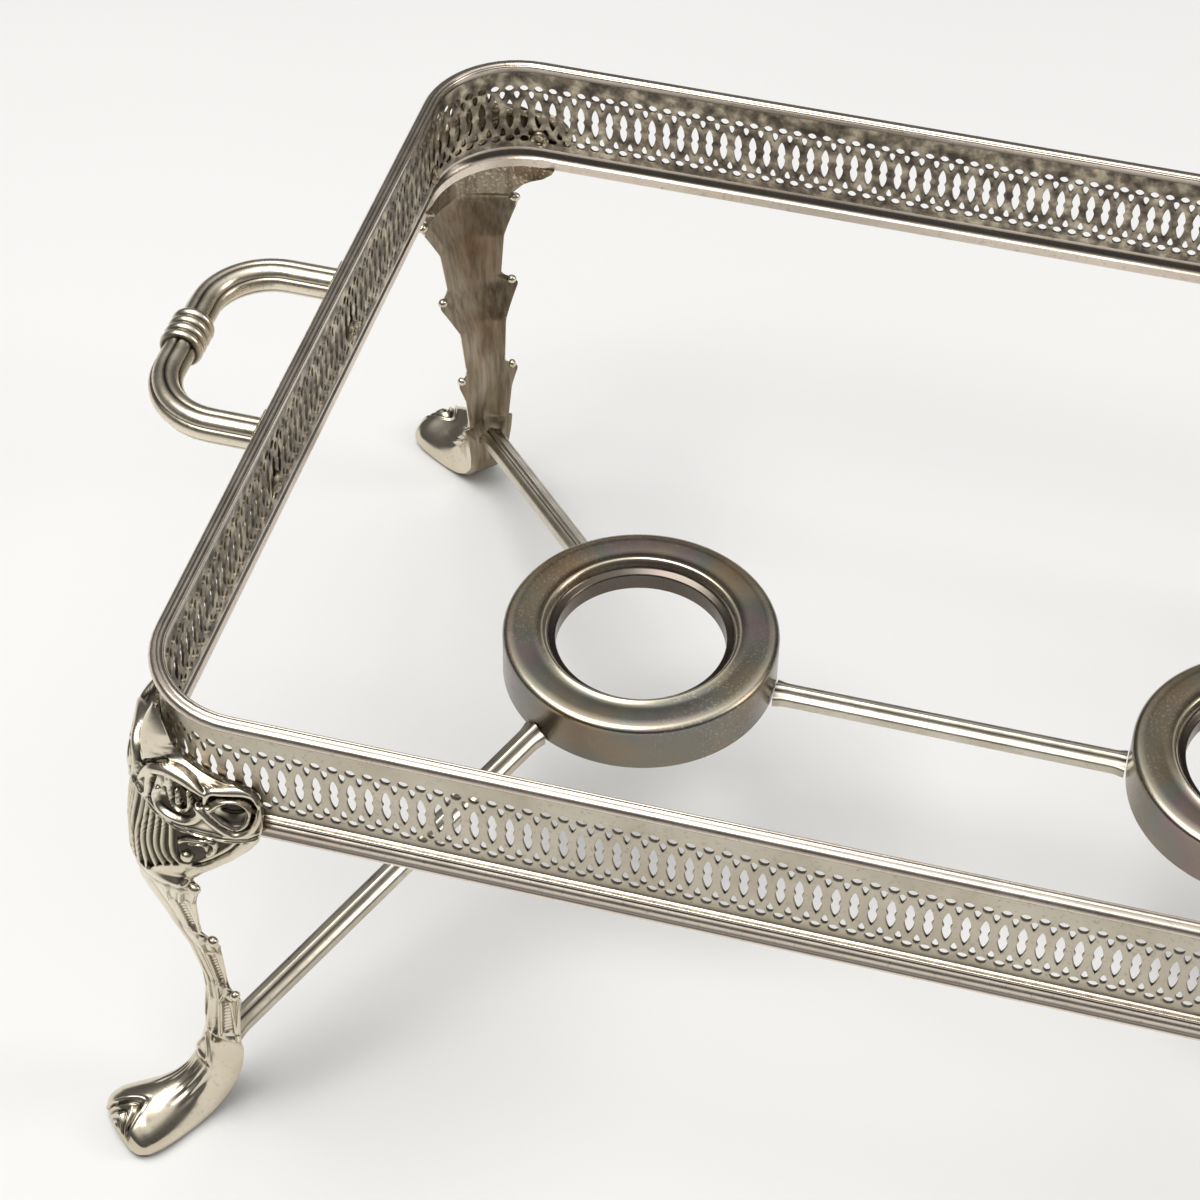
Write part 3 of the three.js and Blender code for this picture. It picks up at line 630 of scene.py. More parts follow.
def build_bar(name, start, end, facing):
    """A channel bar with fine rib lines on its back, from one point on its top to another. Its
    start is cut square to the way that it faces, if it faces one."""
    start, end = np.array(start, float), np.array(end, float)
    along = (end - start) * [1, 1, 0]
    along /= np.linalg.norm(along)
    across = np.array([-along[1], along[0], 0])
    lean = -across.dot(facing) / along.dot(facing) if facing is not None else 0
    half = BAR_WIDTH / 2
    section = [(half, -BAR_DEPTH), (half, -2.6)]
    section += arc(half, -2.4, half - 0.9, -1.45, -0.2, 5)
    section += arc(half - 0.9, -1.45, 1.1, -0.75, 0.1, 4)
    section += [(1.05, -0.9), (0.9, -0.85)] + arc(0.75, -0.3, -0.75, -0.3, -0.24, 8)
    section += [(-0.75, -0.3), (-0.9, -0.85), (-1.05, -0.9)]
    section += arc(-1.1, -0.75, -(half - 0.9), -1.45, 0.1, 4)
    section += arc(-(half - 0.9), -1.45, -half, -2.4, -0.2, 5)
    section += [(-half, -2.4), (-half, -BAR_DEPTH), (1 - half, -BAR_DEPTH), (1 - half, -2.3)]
    section += [(half - 1, -2.3), (half - 1, -BAR_DEPTH)]
    section = np.array(section)
    count = 90
    t = np.linspace(0, 1, count)
    centre = start + (end - start) * t[:, None]
    slant = lean * (1 - t)[:, None]
    reach = np.linalg.norm(end - start)
    solder = bell(reach * np.minimum(t, 1 - t), 0, 1.6)  # the fillets at both ends
    side = section[None, :, 0] * (1 + 0.2 * solder[:, None])
    points = centre[:, None, :] + across * side[..., None] + along * (side * slant)[..., None]
    points = points + np.array([0, 0, 1]) * section[None, :, 1, None]
    faces = closed_faces(count, len(section))
    obj = make_object(f"bar_{name}", points.reshape(-1, 3), faces, BAR_SILVER, 38, outwards=True)
    grooves = bell(np.abs(section[:, 0]), 1.0, 0.2) * (section[:, 1] > -1.2)
    paint(obj, "hollow", np.clip(0.9 * grooves[None, :] + 0.3 * solder[:, None], 0, 1))
    settle(obj, "bright_silver", f"stretcher_{name}")


def build_bars():
    half = RING_X - RING_RADIUS - FIT
    build_bar("middle", (-half, 0, BAR_RING_Z), (half, 0, BAR_RING_Z), None)
    for corner, side_x, side_y in CORNERS:
        outwards = np.array([side_x, side_y, 0]) / math.sqrt(2)
        start = np.array([side_x * STRAIGHT_X, side_y * STRAIGHT_Y, BAR_LEG_Z])
        start = start + outwards * (CORNER_RADIUS - LEG_BACK - FIT)
        ring = np.array([side_x * RING_X, 0, BAR_RING_Z])
        towards = (start - ring) * [1, 1, 0]
        end = ring + towards / np.linalg.norm(towards) * (RING_RADIUS + FIT)
        build_bar(corner, start, end, outwards)


# Handles: half the way between the palms, how far the grip stands out, and the radii of its bends
# and of its bar
SPREAD, REACH, BEND, GRIP_RADIUS = 29.0, 32.0, 17.0, 4.3
COLLAR_HALF, COLLAR_RADIUS, COLLAR_RINGS = 5.5, 4.6, 4
PALM_HALF, PALM_LENGTH = 5.0, 20
HANDLE_Z = BAND_TOP - GRIP_RADIUS - FIT
PALM_OUT = SHEET / 2 + FIT


def to_side(along, out, up, side):
    """From an end side's own frame to the stand's."""
    return placed(side * (HALF_LENGTH + out), side * along, up)


def grip_points():
    """The reeded bar: rings of places (along, out, up) and how tarnished each groove is."""
    bend_x, bend_out = SPREAD - BEND, REACH - BEND
    right = [(SPREAD, PALM_OUT + 1.3, 0.0)]
    right += [(SPREAD, o, 0.0) for o in np.linspace(PALM_OUT + 2.6, bend_out, 6)[:-1]]
    for a in np.linspace(0, math.pi / 2, 16):
        right.append((bend_x + BEND * math.cos(a), bend_out + BEND * math.sin(a), a))
    right += [(x, REACH, math.pi / 2) for x in np.linspace(bend_x, 0, 8)[1:]]
    left = [(-x, out, math.pi - a) for x, out, a in right[:-1]]
    path = np.array(left + right[::-1])
    phi = turns(72)
    radius = GRIP_RADIUS - 0.62 * (1 - np.abs(np.cos(3 * phi)) ** 0.55)
    side, up = radius * np.cos(phi), radius * np.sin(phi)
    angle = path[:, 2:3]
    along = path[:, 0:1] - side * np.cos(angle)
    out = path[:, 1:2] - side * np.sin(angle)
    groove = (1 - np.abs(np.cos(3 * phi))) ** 3
    return np.broadcast_arrays(along, out, HANDLE_Z + up, groove)


def collar_points():
    """The turned rings round the middle of the grip, in the same form."""
    x = np.linspace(-COLLAR_HALF, COLLAR_HALF, 49)[:, None]
    phi = turns(64)
    wave = np.abs(np.sin(COLLAR_RINGS * math.pi * (x + COLLAR_HALF) / (2 * COLLAR_HALF)))
    radius = COLLAR_RADIUS + wave**0.55
    out, up = REACH + radius * np.cos(phi), HANDLE_Z + radius * np.sin(phi)
    return np.broadcast_arrays(x, out, up, (1 - wave) ** 3)


def palm_points(middle):
    """A tongue with a round foot, slightly domed, from its back to its front."""
    half, top, foot = PALM_HALF, BAND_TOP - FIT, BAND_TOP - FIT - PALM_LENGTH
    loop = [(-half, top), (-half, foot + half)]
    for a in np.linspace(math.pi, 2 * math.pi, 25)[1:-1]:
        loop.append((half * math.cos(a), foot + half + half * math.sin(a)))
    loop = np.array(loop + [(half, foot + half), (half, top)])
    centre = np.array([0, (top + foot) / 2])
    away = loop - centre
    length = np.linalg.norm(away, axis=1)[:, None]
    rows = []
    for shrink, out in ((0, 0), (0, 1.5), (0.25, 2.1), (0.8, 2.5), (2.2, 2.6)):
        inner = centre + away * (1 - shrink / length)
        rows.append(np.broadcast_arrays(inner[:, 0] + middle, PALM_OUT + out, inner[:, 1], 0.0))
    return np.moveaxis(rows, 1, 0)


def build_handles():
    parts = [grip_points(), collar_points(), palm_points(-SPREAD), palm_points(SPREAD)]
    for name, side in (("left", -1), ("right", 1)):
        points, faces, grooves = [], [], []
        for along, out, up, groove in parts:
            faces += closed_faces(*along.shape, first=sum(map(len, points)))
            points.append(to_side(along, out, up, side).reshape(-1, 3))
            grooves.append(groove.ravel())
        obj = make_object(f"grip_{name}", np.vstack(points), faces, HANDLE_SILVER, 42, outwards=True)
        paint(obj, "hollow", np.concatenate(grooves))
        settle(obj, "bright_silver", f"handle_{name}")


# Rivets: radii of the head, the shank and the head's hollow, how thick the head is and how far the
# shank goes on beyond the sheet
HEAD, SHANK, EYE, HEAD_THICK, SHANK_REACH = 2.8, 1.5, 0.9, 0.9, 1.6
LEG_RIVET_RUN, LEG_RIVET_Z = 18.4, BAND_BOTTOM + 3
HANDLE_RIVET_Z = BAND_BOTTOM + 6.6


def rivet_profile():
    back, front, axis = -(SHEET / 2 + 0.05), SHEET / 2 + SHANK_REACH, 0.001
    profile = [(axis, back - 0.1), (EYE - 0.1, back - 0.1)]
    for a in np.linspace(0, math.pi, 14):
        share = 0.5 - 0.5 * math.cos(a)
        profile.append((EYE + (HEAD - EYE) * share, back - 0.15 - HEAD_THICK * math.sin(a)))
    return profile + [(HEAD, back), (SHANK, back), (SHANK, front), (axis, front)]


def build_rivet(piece, cad_node, place):
    obj = lathe(piece, rivet_profile(), LEG_BACK_SILVER, 24, 45, place)
    settle(obj, "dull_silver", cad_node)


def build_rivets():
    for name, side_x, side_y in CORNERS:
        for k, run in ((1, -LEG_RIVET_RUN), (2, LEG_RIVET_RUN)):
            angle = math.copysign(min(abs(run), QUARTER / 2), run) / CORNER_RADIUS
            axes = np.array([
                [math.cos(angle), -math.sin(angle), 0], [0, 0, 1], [math.sin(angle), math.cos(angle), 0]])
            middle = corner_point(run, 0, LEG_RIVET_Z)
            build_rivet(
                f"rivet_{name}_{k}", f"leg_rivet_{name}_{k}",
                lambda p: to_corner(middle + p @ axes, side_x, side_y))
    for name, side in (("left", -1), ("right", 1)):
        for k, run in ((1, -SPREAD), (2, SPREAD)):
            build_rivet(
                f"grip_rivet_{name}_{k}", f"handle_rivet_{name}_{k}",
                lambda p: to_side(run + p[:, 0], p[:, 2], HANDLE_RIVET_Z + p[:, 1], side))


# Legs. Rows are a level, how far the ridge stands out from the sheet, the side's run along the
# sheet and how far it stands out, how sharply it falls away, and how much of it wraps back.
KNEE_ROWS = [
    (27, 0.3, 8.1, -4.9, 2, 0), (38.8, -1.4, 9.5, -4.5, 2, 0), (45.8, -1.2, 12, -3.3, 2, 0),
    (47.4, -1, 7.4, -3.3, 2, 0), (61.9, 2, 8.1, -2, 2, 0), (73, 5.5, 12.3, 2.3, 2, 0),
    (75, 6, 7.7, 3.2, 2, 0), (88, 10, 8.7, 4.3, 2, 0), (99.4, 13.1, 12.7, 7.8, 1.8, 0),
    (101, 13.1, 10.8, 6.8, 1.6, 0), (104.5, 13.1, 13.2, 6, 1.5, 0.1), (109, 12.9, 17.3, 5, 1.3, 0.4),
    (112.3, 12.3, 20.4, 4.8, 1.2, 0.8), (115.5, 11.5, 23.2, 4.8, 1.1, 1), (119, 10.6, 25.5, 4.8, 1.1, 1),
    (124, 9.6, 26.6, 4.8, 1.2, 1), (129.2, 8.7, 25.7, 3, 1.2, 1), (131.4, 8.4, 24.4, 2.2, 1.2, 1),
    (132.8, 8.1, 19.5, 1.9, 1.1, 1), (133.9, 7.9, 12.5, 1.6, 1, 1), (135, 7.7, 7.8, 1.8, 1.1, 0.6),
    (137, 7.4, 5.2, 2.4, 1.4, 0), (140, 6.4, 4.5, 3, 1.5, 0), (142.4, 5.6, 3.1, 3, 1.6, 0),
    (146, 4.2, 1, 3.2, 1.6, 0),
]
# Sections of the paw from the toes to the ankle: how far out and how high the top and the sole
# lie, half the width, and the length from the toes along the top.
PAW_ROWS = [
    (27.2, 2, 26, 0, 6.3, 0), (27.6, 5, 24.6, 0, 9, 3), (26, 7.9, 22.6, 0, 10.3, 6.3),
    (22.5, 9.3, 19.5, 0, 10.5, 10.1), (18.5, 9.4, 14.5, 0, 9.6, 14.1), (14, 10, 8.5, 0, 8, 18.6),
    (10, 11.4, 3, 1.2, 6.7, 22.9), (6.6, 13.7, -1.2, 4.2, 6, 27), (3.9, 16.7, -4.6, 9, 6, 31),
    (1.9, 20.2, -6, 15, 6.6, 35), (0.7, 24, -6, 22, 7.3, 39), (0.3, 27, -4.9, 27, 8.1, 42),
]
LEG_WALL = 2.0
SKIN_STEPS, BACK_STEPS = 217, 25  # points across the outer skin and across the back
SHANK_TOP = 96  # the level where the shank's carving ends and the knee's begins


def softened(z, column, width):
    """A column of KNEE_ROWS at each level, with its corners rounded over a width."""
    rows = np.array(KNEE_ROWS)
    fine = np.arange(z[0] - 3, z[-1] + 3, 0.1)
    values = np.interp(fine, rows[:, 0], rows[:, column])
    weights = np.hanning(int(width / 0.1) | 1)
    ends = len(weights) // 2
    padded = np.pad(values, ends, mode="edge")
    return np.interp(z, fine, np.convolve(padded, weights / weights.sum(), mode="valid"))


def stroke(d, z, points, width, height):
    """A round line through the points; its half width is one number or one at each point."""
    p = np.array(points, float)
    w = np.broadcast_to(width, len(p))
    best = np.full(d.shape, 9.0)
    for a, b, wa, wb in zip(p[:-1], p[1:], w[:-1], w[1:]):
        way = b - a
        t = np.clip(((d - a[0]) * way[0] + (z - a[1]) * way[1]) / (way @ way), 0, 1)
        gone = np.hypot(d - a[0] - t * way[0], z - a[1] - t * way[1]) / (wa + (wb - wa) * t)
        best = np.minimum(best, gone)
    return height * np.clip(1 - best**2, 0, None) ** 0.8


def smooth_stroke(d, z, points, width, height, count=30):
    """The same along a smooth curve."""
    way = spline(points, count)
    if not np.isscalar(width):
        width = np.interp(np.linspace(0, 1, count), np.linspace(0, 1, len(width)), width)
    return stroke(d, z, way, width, height)


def blob(d, z, x, y, rx, ry, height):
    """A round boss with its middle at x, y."""
    return height * np.clip(1 - ((d - x) / rx) ** 2 - ((z - y) / ry) ** 2, 0, None) ** 0.6


def over(ground, line):
    """Lays raised lines on the ground and leaves what is sunk beside them as it is."""
    cover = np.clip(4 * line, 0, 1)
    return ground * (1 - cover) + np.maximum(ground, line) * cover


# Carving of the knee, as places (distance from the ridge, level) along each line, then its half
# width, which may differ along it, and its depth or height
KNEE_SUNK = [
    ([(25, 127.6), (23.8, 129.4), (21.5, 130.5), (18.5, 130.7), (15.6, 129.9), (14.5, 128)], 0.65, 1.1),
    ([(24.4, 126.5), (24, 124), (22.6, 122.1), (20.6, 121.4), (18.8, 122.3), (16, 124.9), (12.2, 129),
      (10, 131)], 0.6, 0.8),
    ([(24.8, 120.4), (22.3, 119.2), (17.3, 119.2), (13, 119.4)], 0.35, 0.6),
    ([(4, 130), (3.4, 126.5), (3.4, 124)], 0.45, 0.9),
    ([(20.7, 116.6), (17.3, 112), (13.9, 108.2), (11.6, 106.4)], 0.45, 0.8),
    ([(4.9, 134.3), (3.2, 133.2), (1.4, 131.6), (0.4, 129.8)], 0.5, 0.9),
]
KNEE_RAISED = [
    ([(14.7, 127.3), (15.7, 127.2), (17, 128.8), (19, 129.6), (21.2, 129.3), (23.1, 127.8),
      (23.6, 126), (22.6, 123.6), (20.9, 122.4), (19, 122.9), (16.9, 125), (15, 127)], 0.5, 0.7),
    ([(25.8, 127.8), (25.2, 124.9), (24.1, 122.4), (22.3, 120.8), (20.1, 120.2), (18.3, 121.3),
      (16.6, 123.1), (14.8, 125.2), (13.4, 126.6)], 0.95, 1.05),
    ([(25.8, 128.6), (24.4, 130.8), (22.3, 131.7), (20, 131.9), (17.3, 131.8), (15.1, 131.3),
      (14.5, 128.4)], [0.9, 1.1, 1.2, 1.2, 1.1, 0.9, 0.4], 1.1),
    ([(14.2, 130.8), (12.3, 131.8), (10.1, 132.6), (8, 133), (6, 133), (4.4, 132.2), (3, 131),
      (1.6, 128.5), (0.5, 125.6)], [0.7, 1.1, 1.3, 1.4, 1.5, 1.3, 1.1, 0.8, 0.4], 1.25),
    ([(6.9, 132.6), (7, 130.5), (6.3, 129.1)], [0.7, 0.6, 0.3], 0.9),
    ([(13.5, 126.3), (13.7, 124.8), (12.6, 122.8), (10.9, 121.6), (8, 121.3), (5.9, 122.1),
      (4.9, 123.6), (4.6, 125.6), (5.2, 127.5)], [0.6, 0.85, 0.9, 0.9, 0.9, 0.85, 0.8, 0.7, 0.5], 1),
    ([(11.2, 130.2), (11.7, 127), (11.2, 125.2), (9.8, 124.6), (8.5, 125.6), (7.6, 128.1),
      (7.3, 130.2)], 0.42, 0.75),
    ([(8.9, 129.3), (9.5, 126.2)], [0.3, 0.6], 0.6),
    ([(3.2, 129.6), (2.5, 127), (2.6, 124), (2.2, 122.6), (1, 122.2), (0, 122.8)], 0.6, 0.9),
    ([(25.4, 121.6), (22.6, 119.9), (19.1, 119.9), (13.7, 120.1), (9.4, 119.9), (5.9, 120.9),
      (3.4, 122.4)], 0.45, 0.8),
    ([(25.2, 119.6), (22.3, 118.4), (17.3, 118.4), (13, 118.9), (8.7, 118.7), (5.9, 119.4),
      (3.7, 120.9), (2.4, 122.2)], 0.45, 0.8),
    ([(14.6, 111.5), (15.9, 113.4), (16, 115.7), (15.1, 116.7), (13, 116.4), (10.9, 115.6),
      (9.8, 114.3)], 0.5, 0.5),
    ([(14.6, 113.4), (14.4, 114.7), (13.4, 115.2), (11.6, 114.6)], 0.4, 0.35),
    ([(24.6, 119), (22.3, 115.6), (19.2, 111.8), (16.3, 108.5), (13.3, 105.6), (11, 102.6),
      (9.8, 99.8)], [0.8, 1.2, 1.35, 1.35, 1.3, 1.2, 0.6], 0.9),
]
# Ribs of the shell: where each stands at its top, halfway and at its foot
SHELL_RIBS = [
    ((7.8, 118.6), (8.2, 109.5), (9.4, 105.9)), ((6.4, 118.9), (6.5, 109.5), (8, 105)),
    ((5, 119.3), (5.1, 109.5), (6.6, 103.2)), ((3.6, 120.3), (3.7, 109.5), (5.1, 100.9)),
    ((2.4, 121.2), (2.3, 109.5), (3, 99.7)), ((1.2, 121.6), (0.9, 109.5), (0.9, 98.8)),
]
SHELL_FOOT = [(0, 98.6), (1.5, 98.9), (3, 99.5), (4.4, 101.2), (5.8, 102.9), (7.3, 104.2), (9, 105.2)]


def knee_relief(d, z):
    """Volute, crest leaf, scrolls, double rim, shell, panel and the leaf that climbs the corner."""
    h = blob(d, z, 0.5, 139.5, 5.5, 6.5, 0.6)
    h -= blob(d, z, 20.0, 126.3, 3.3, 2.85, 0.55) + blob(d, z, 20.2, 128.0, 3.0, 1.3, 0.9)
    h -= blob(d, z, 10.2, 128.4, 4.4, 3.2, 0.8) + blob(d, z, 9.2, 124.6, 3.9, 2.9, 0.9)
    panel = window(d, 9.2, 12.3 + (z - 107) * 0.77, 0.5) * window(z, 106.6, 117.8, 0.5)
    foot = np.interp(d, *zip(*SHELL_FOOT))
    shell = window(z, foot, 121.4 - 0.3 * d, 0.6) * fall(d, 9.6, 0.4)
    for points, width, depth in KNEE_SUNK:
        h -= smooth_stroke(d, z, points, width, depth)
    h -= 0.75 * panel
    for points, width, height in KNEE_RAISED:
        h = over(h, smooth_stroke(d, z, points, width, height))
    h = over(h, blob(d, z, 10.8, 109.4, 1.1, 1.6, 0.7))
    ribs = np.max([smooth_stroke(d, z, points, [0.4, 0.42, 0.3], 1.0, 12) for points in SHELL_RIBS], axis=0)
    return h * (1 - shell) + shell * (1.2 * ribs - 1.05)


# The shank's hatched panels (levels from and to, distances from and to), its raised and sunk lines,
# and the levels of the balls that its spurs end in
SHANK_PANELS = [(75.5, 88.5, 5.4, 7.4), (48, 61.5, 4.9, 7), (28, 41, 4.4, 7.4)]
SHANK_RAISED = [
    ([(9.5, 98), (7.9, 93), (6.6, 88.5)], 0.5, 0.6), ([(7.2, 98), (5.6, 93), (4.8, 88.5)], 0.45, 0.5),
    ([(7.8, 73), (6.6, 68.5), (5, 63)], 0.7, 0.7), ([(7.2, 46), (5.8, 43.4), (4.5, 40.5)], 0.6, 0.6),
    ([(10.8, 74.4), (8.5, 74.6), (6.2, 75.4)], 0.5, 0.7),
    ([(9.6, 47.2), (7.4, 47.2), (5.2, 47.5)], 0.5, 0.7), ([(6.2, 62), (4.2, 62.4)], 0.5, 0.6),
    ([(3.9, 24), (3.8, 35), (4, 47)], 0.4, 0.6),
]
SHANK_SUNK = [([(8.8, 68), (7.7, 62.5)], [0.3, 0.8]), ([(8.6, 52.5), (7.5, 48.2)], [0.3, 0.7])]
SPUR_LEVELS, SPUR_BALL = (98.9, 73.2, 46.0), 1.35


def shank_relief(d, z, run):
    """Ribs, hatched panels, curls and the hollows by the balls; run is half the shank's width."""
    h = 0.5 * bell(run - d, 0.5, 0.5) * window(z, 21, 100, 3)
    h -= 0.7 * window(d, 1.4, 3.6, 0.5) * window(z, 24, 96, 4)
    for low, high, near, far in SHANK_PANELS:
        h -= window(d, near, far, 0.3) * window(z, low, high, 0.8) * (0.5 + 0.22 * np.sin(z * 5.2 - d * 3))
        for side in (near, far):
            h = over(h, stroke(d, z, [(side, low), (side, high)], 0.35, 0.5))
    for points, width in SHANK_SUNK:
        h -= smooth_stroke(d, z, points, width, 0.9, 8)
    for points, width, height in SHANK_RAISED:
        h = over(h, smooth_stroke(d, z, points, width, height, 12))
    for level in SPUR_LEVELS:
        h -= blob(d, z, 8.2, level - 0.5, 1.6, 2.4, 0.8)
    h = over(h, 0.6 * bell(d, 0, 1.1) * window(z, 17, 96, 3))
    leaf = fall(np.abs(d - 0.45 * (28 - z)), 0.5, 0.5) * window(z, 16, 28, 1.5)
    return h + 0.5 * leaf


# Tendons of the paw: the share of the way round, the lengths from and to, the width and the depth
PAW_TENDONS = [
    (0.05, 22, 33, 0.04, 0.3), (0.15, 19, 35, 0.045, 0.45), (0.27, 17, 36, 0.05, 0.5),
    (0.42, 18, 34, 0.05, 0.35),
]


def paw_relief(x, length, share):
    """Nested arches of the middle toe, clefts beside it, tendons and the ankle's leaf. It takes
    the distance from the middle, the length from the toes, and the share of the way round."""
    x = np.abs(x)
    arch = length / 13.8 + (x / 7.4) ** 1.5
    on = fall(arch, 1.12, 0.1)
    h = on * (-0.35 + 0.55 * np.cos((arch - 1.0) * 2 * math.pi / 0.27) ** 3)
    h += 0.5 * bell(arch, 1.03, 0.045) * fall(length, 14.5, 1)
    h -= bell(arch, 0.9, 0.05) * fall(length, 7.5, 4)
    for middle, start, end, wide, deep in PAW_TENDONS:
        h -= deep * rise(length, start, 7) * fall(length, end, 9) * bell(share, middle, wide)
    half = np.clip(0.46 * (41 - length), 0, 4.2)
    for height, inset, start in ((0.75, 0, 31.5), (-0.45, 0.9, 32.5)):
        h += height * fall(x, half - inset, 0.5) * rise(length, start, 1.2) * (length < 41)
    return h


def blurred(field, rows, columns):
    """A soft mean over a window of rows and columns."""
    for axis, size in ((0, rows), (1, columns)):
        weights = np.hanning(2 * size + 1)
        weights /= weights.sum()
        pad = [(0, 0), (0, 0)]
        pad[axis] = (size, size)
        padded = np.pad(field, pad, mode="edge")
        count = field.shape[axis]
        field = sum(w * np.take(padded, range(k, k + count), axis=axis) for k, w in enumerate(weights))
    return field


def clearance(z):
    """How far out the gallery and its rails reach at each level, as the leg's back sees it."""
    below = z <= BAND_BOTTOM + FIT
    out = np.where(below, -9.0, PALM_OUT)
    out = np.where(below & (z > RAIL_FOOT - FIT), PALM_OUT + 0.8, out)
    return np.where(below & (z > BAND_BOTTOM - 6.1), 3.5, out)


def paw_section(side, places):
    """The paw's skin and its underside at each place along its rows, and for the carving the
    distance from the middle and the length from the toes."""
    rows = np.array(PAW_ROWS)
    at = np.arange(len(rows))
    fine = np.linspace(0, at[-1], 400)
    weights = np.hanning(41) / np.hanning(41).sum()

    def eased(column):
        values = np.pad(np.interp(fine, at, rows[:, column]), 20, mode="reflect", reflect_type="odd")
        return np.interp(places, fine, np.convolve(values, weights, mode="valid"))[:, None]

    top_out, top_up, sole_out, sole_up, width, length = (eased(c) for c in range(6))
    sole_up = np.maximum(sole_up, 0)
    turn = 0.6 * math.pi * side
    ease = rise(places, 8.6, 2.4)[:, None]
    ease = ease * ease * (3 - 2 * ease)
    across = width * (np.sin(turn) * (1 - ease) + side * ease)
    lift = (0.3 + 0.7 * np.cos(turn)) * (1 - ease) + (1 - side**2) * ease
    out = sole_out + (top_out - sole_out) * lift
    up = sole_up + (top_up - sole_up) * lift
    skin = placed(across, CORNER_RADIUS + out, up)
    flat = np.linspace(-1, 1, BACK_STEPS)
    lips = width * 0.7 * (1 - ease) + (width - LEG_WALL) * ease
    hollow = (top_out - LEG_WALL - sole_out) * ease * (1 - np.abs(flat))
    under = placed(lips * flat, CORNER_RADIUS + sole_out + hollow, sole_up)
    return skin, under, across, length + 0 * side


def leg_grid():
    """One leg in its corner's frame, outer skin and then back skin, section by section, and how
    hollow each point lies."""
    levels = np.concatenate([np.arange(27.3, 98, 0.34), np.arange(98, 145.8, 0.22), [146.0]])
    side = np.linspace(-1, 1, SKIN_STEPS)[::-1]
    s, z = np.meshgrid(side, levels)
    columns = ((1, 3.0), (2, 1.2), (2, 3.6), (3, 2.0), (4, 3.0), (5, 2.0))
    ridge, run, soft_run, edge, power, wrap = (softened(levels, *c)[:, None] for c in columns)
    run = np.where(levels[:, None] < SHANK_TOP + 1, soft_run, run)
    distance = run * s
    round_top = (s**2 + 0.0016) ** 0.5 - 0.04
    knee = corner_point(distance, ridge + (edge - ridge) * round_top**power, z)
    places = np.linspace(0, len(PAW_ROWS) - 1, 150)[:-1]
    paw, paw_under, across, length = paw_section(side[None, :], places)
    base = np.concatenate([paw, knee])
    a = np.abs(distance)
    relief = np.concatenate([
        paw_relief(across, length, np.abs(side)[None, :] + 0 * across),
        np.where(z > SHANK_TOP, knee_relief(a, z) - 0.55, shank_relief(a, z, run) - 0.2),
    ])
    rim = fall(np.abs(side), 1, 0.03)
    blend = np.ones(len(relief))
    blend[: len(places)] = rise(places, 0, 0.6)
    relief = np.maximum(blurred(relief, 2, 2), -1.5) * rim * blend[:, None]
    du, dz = np.gradient(base, axis=1), np.gradient(base, axis=0)
    normal = np.cross(du, dz)
    normal /= np.maximum(np.linalg.norm(normal, axis=2, keepdims=True), 1e-6)
    normal *= np.sign(normal[len(places) :, :, 1].mean())
    skin = base + normal * relief[..., None]
    skin[..., 2] = np.maximum(skin[..., 2], 0)
    hollow = 0.8 * rise(blurred(relief, 7, 7) - relief, 0.02, 0.16) + fall(relief, -0.78, 0.3)
    hollow = np.clip(hollow, 0, 1)
    # Back skin: a shallow hollow down the shank, closed against the sheet behind the knee
    t = np.linspace(-1, 1, BACK_STEPS)
    lip = np.minimum(LEG_WALL, run / 2) * (1 - wrap / 2)
    knee_back = edge + (-1.5 - edge) * wrap
    out = (ridge - LEG_WALL) + (knee_back - ridge + LEG_WALL) * np.abs(t)
    out = np.maximum(out, clearance(levels[:, None]))
    inner = np.concatenate([paw_under, corner_point((run - lip) * t, out, levels[:, None])])
    ring = np.concatenate([skin, inner], axis=1)
    mask = np.concatenate([hollow, np.zeros(inner.shape[:2])], axis=1)
    return ring, mask


def spur_balls(first):
    """The balls that the spurs end in, as points in the corner's frame and faces."""
    rows, columns = 9, 16
    polar = np.linspace(0.06, math.pi - 0.06, rows)[:, None]  # a small flat at each pole
    turn = turns(columns)
    across, up = SPUR_BALL * np.sin(polar), SPUR_BALL * np.cos(polar)
    points, faces = [], []
    for level in SPUR_LEVELS:
        run, edge = (softened(np.array([level]), *c)[0] for c in ((2, 3.6), (3, 2.0)))
        for way in (-1, 1):
            along = way * (run - 0.8 * SPUR_BALL) + across * np.cos(turn)
            out = edge + 0.35 * SPUR_BALL + across * np.sin(turn)
            faces += closed_faces(rows, columns, first + len(points) * rows * columns)
            points.append(corner_point(along, out, level + up).reshape(-1, 3))
    return np.vstack(points), faces


def build_legs():
    ring, mask = leg_grid()
    rows, columns = ring.shape[:2]
    balls, ball_faces = spur_balls(first=rows * columns)
    points = np.vstack([ring.reshape(-1, 3), balls])
    faces = closed_faces(rows, columns) + ball_faces
    is_back = np.zeros(len(faces), dtype=np.int32)
    is_back[: (rows - 1) * columns] = np.tile(np.arange(columns) >= SKIN_STEPS - 1, rows - 1)
    hollow = np.concatenate([mask.ravel(), np.zeros(len(balls))])
    for name, side_x, side_y in CORNERS:
        obj = make_object(f"cast_leg_{name}", to_corner(points, side_x, side_y), faces, LEG_SILVER, 60)
        obj.data.materials.append(LEG_BACK_SILVER)
        obj.data.polygons.foreach_set("material_index", is_back)
        paint(obj, "hollow", hollow)
        settle(obj, "bright_silver", f"leg_{name}")


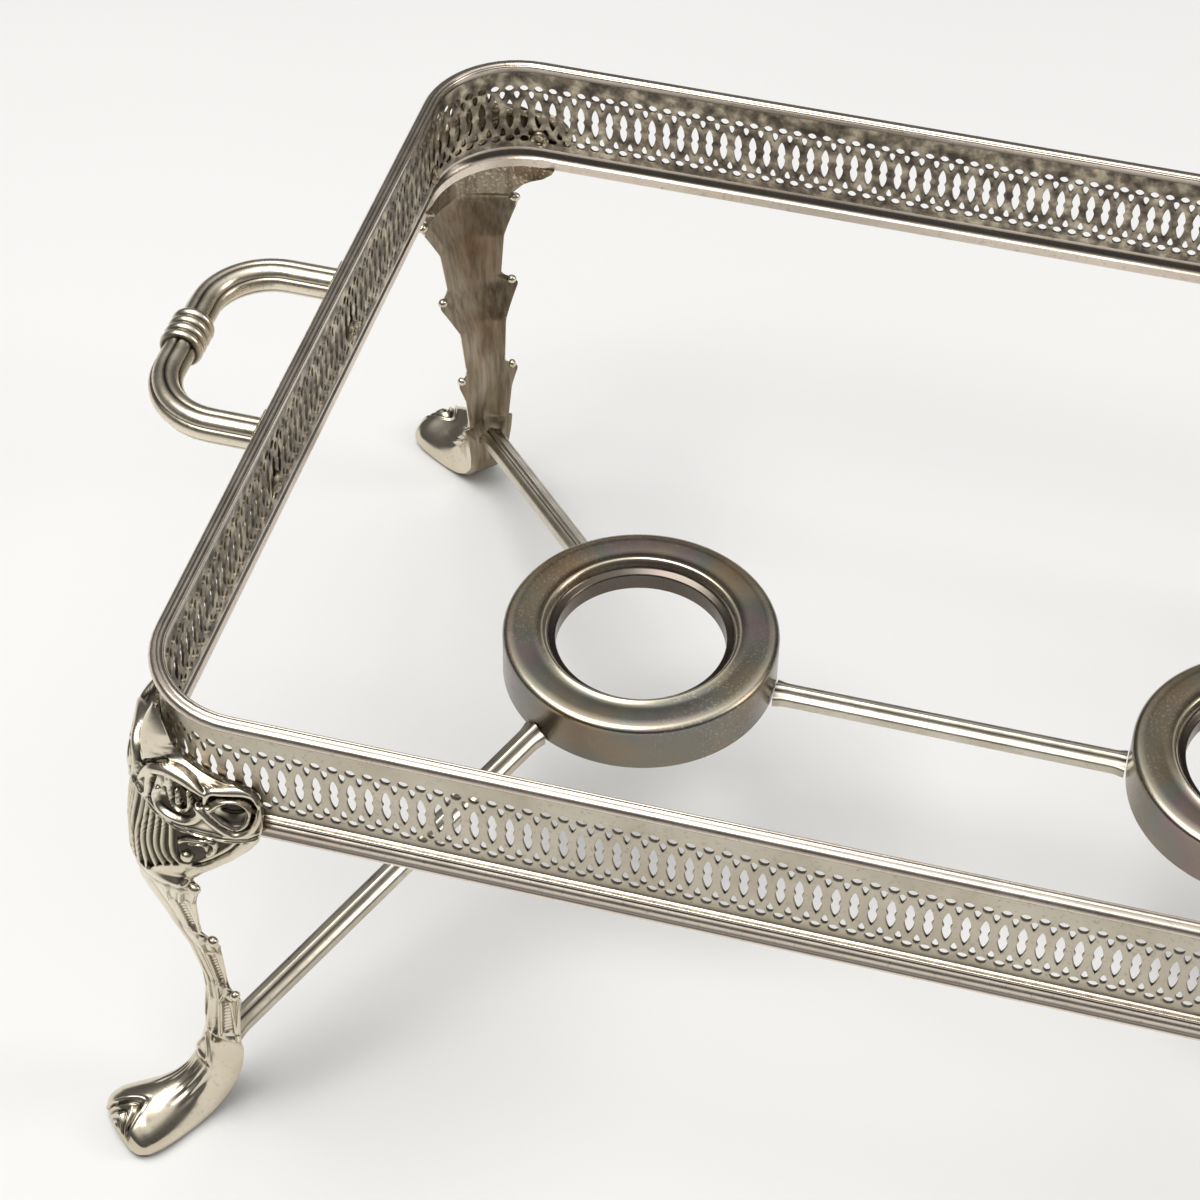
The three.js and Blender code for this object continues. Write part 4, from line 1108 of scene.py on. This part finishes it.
# Stage, light and camera
def build_stage():
    material, tree, bsdf = shader("floor", metallic=0.0)
    bsdf.inputs["Roughness"].default_value = 0.6
    tone = ramp(tree, noise(tree, 3, 2), [(0.3, (0.84, 0.84, 0.835)), (0.7, (0.86, 0.86, 0.855))])
    tree.links.new(tone, bsdf.inputs["Base Color"])
    mesh = bpy.data.meshes.new("floor")
    mesh.from_pydata([(-6, -6, 0), (6, -6, 0), (6, 6, 0), (-6, 6, 0)], [], [(0, 1, 2, 3)])
    mesh.materials.append(material)
    add_object("floor", mesh)


def lamp(name, place, size, power):
    """A warm white panel that is aimed at the stand."""
    data = bpy.data.lights.new(name, "AREA")
    data.shape = "RECTANGLE"
    data.size, data.size_y = size
    data.energy = power
    data.color = (1, 0.985, 0.96)
    obj = add_object(name, data)
    obj.location = place
    obj.rotation_euler = (Vector((0, 0, 0.1)) - Vector(place)).to_track_quat("-Z", "Y").to_euler()


def build_light():
    lamp("key", (-0.45, -0.15, 1.35), (0.9, 0.9), 13)
    lamp("side", (1.1, 0.25, 0.9), (0.5, 0.8), 5)
    world = bpy.data.worlds.new("world")
    bpy.context.scene.world = world
    world.use_nodes = True
    tree = world.node_tree
    background = tree.nodes["Background"]
    greys = ((0.0, 0.35), (0.10, 0.10), (0.55, 0.14), (0.72, 0.30), (0.86, 0.9), (1.0, 1.0))
    sky = ramp(tree, height(tree, "Generated"), [(at, (level,) * 3) for at, level in greys])
    tree.links.new(sky, background.inputs["Color"])
    background.inputs["Strength"].default_value = 1.0


def build_camera():
    data = bpy.data.cameras.new("camera")
    data.lens = 94.57
    data.sensor_width = 36
    data.clip_start, data.clip_end = 0.01, 20
    obj = add_object("camera", data)
    obj.location = (0.0472484, -0.5483303, 0.6559079)
    obj.rotation_euler = Euler((0.7772, -0.0124, 0.2623))
    bpy.context.scene.camera = obj


build_gallery()
build_rails()
build_rings()
build_bars()
build_handles()
build_rivets()
build_legs()
build_stage()
build_light()
build_camera()
bpy.context.scene.view_settings.view_transform = "Standard"
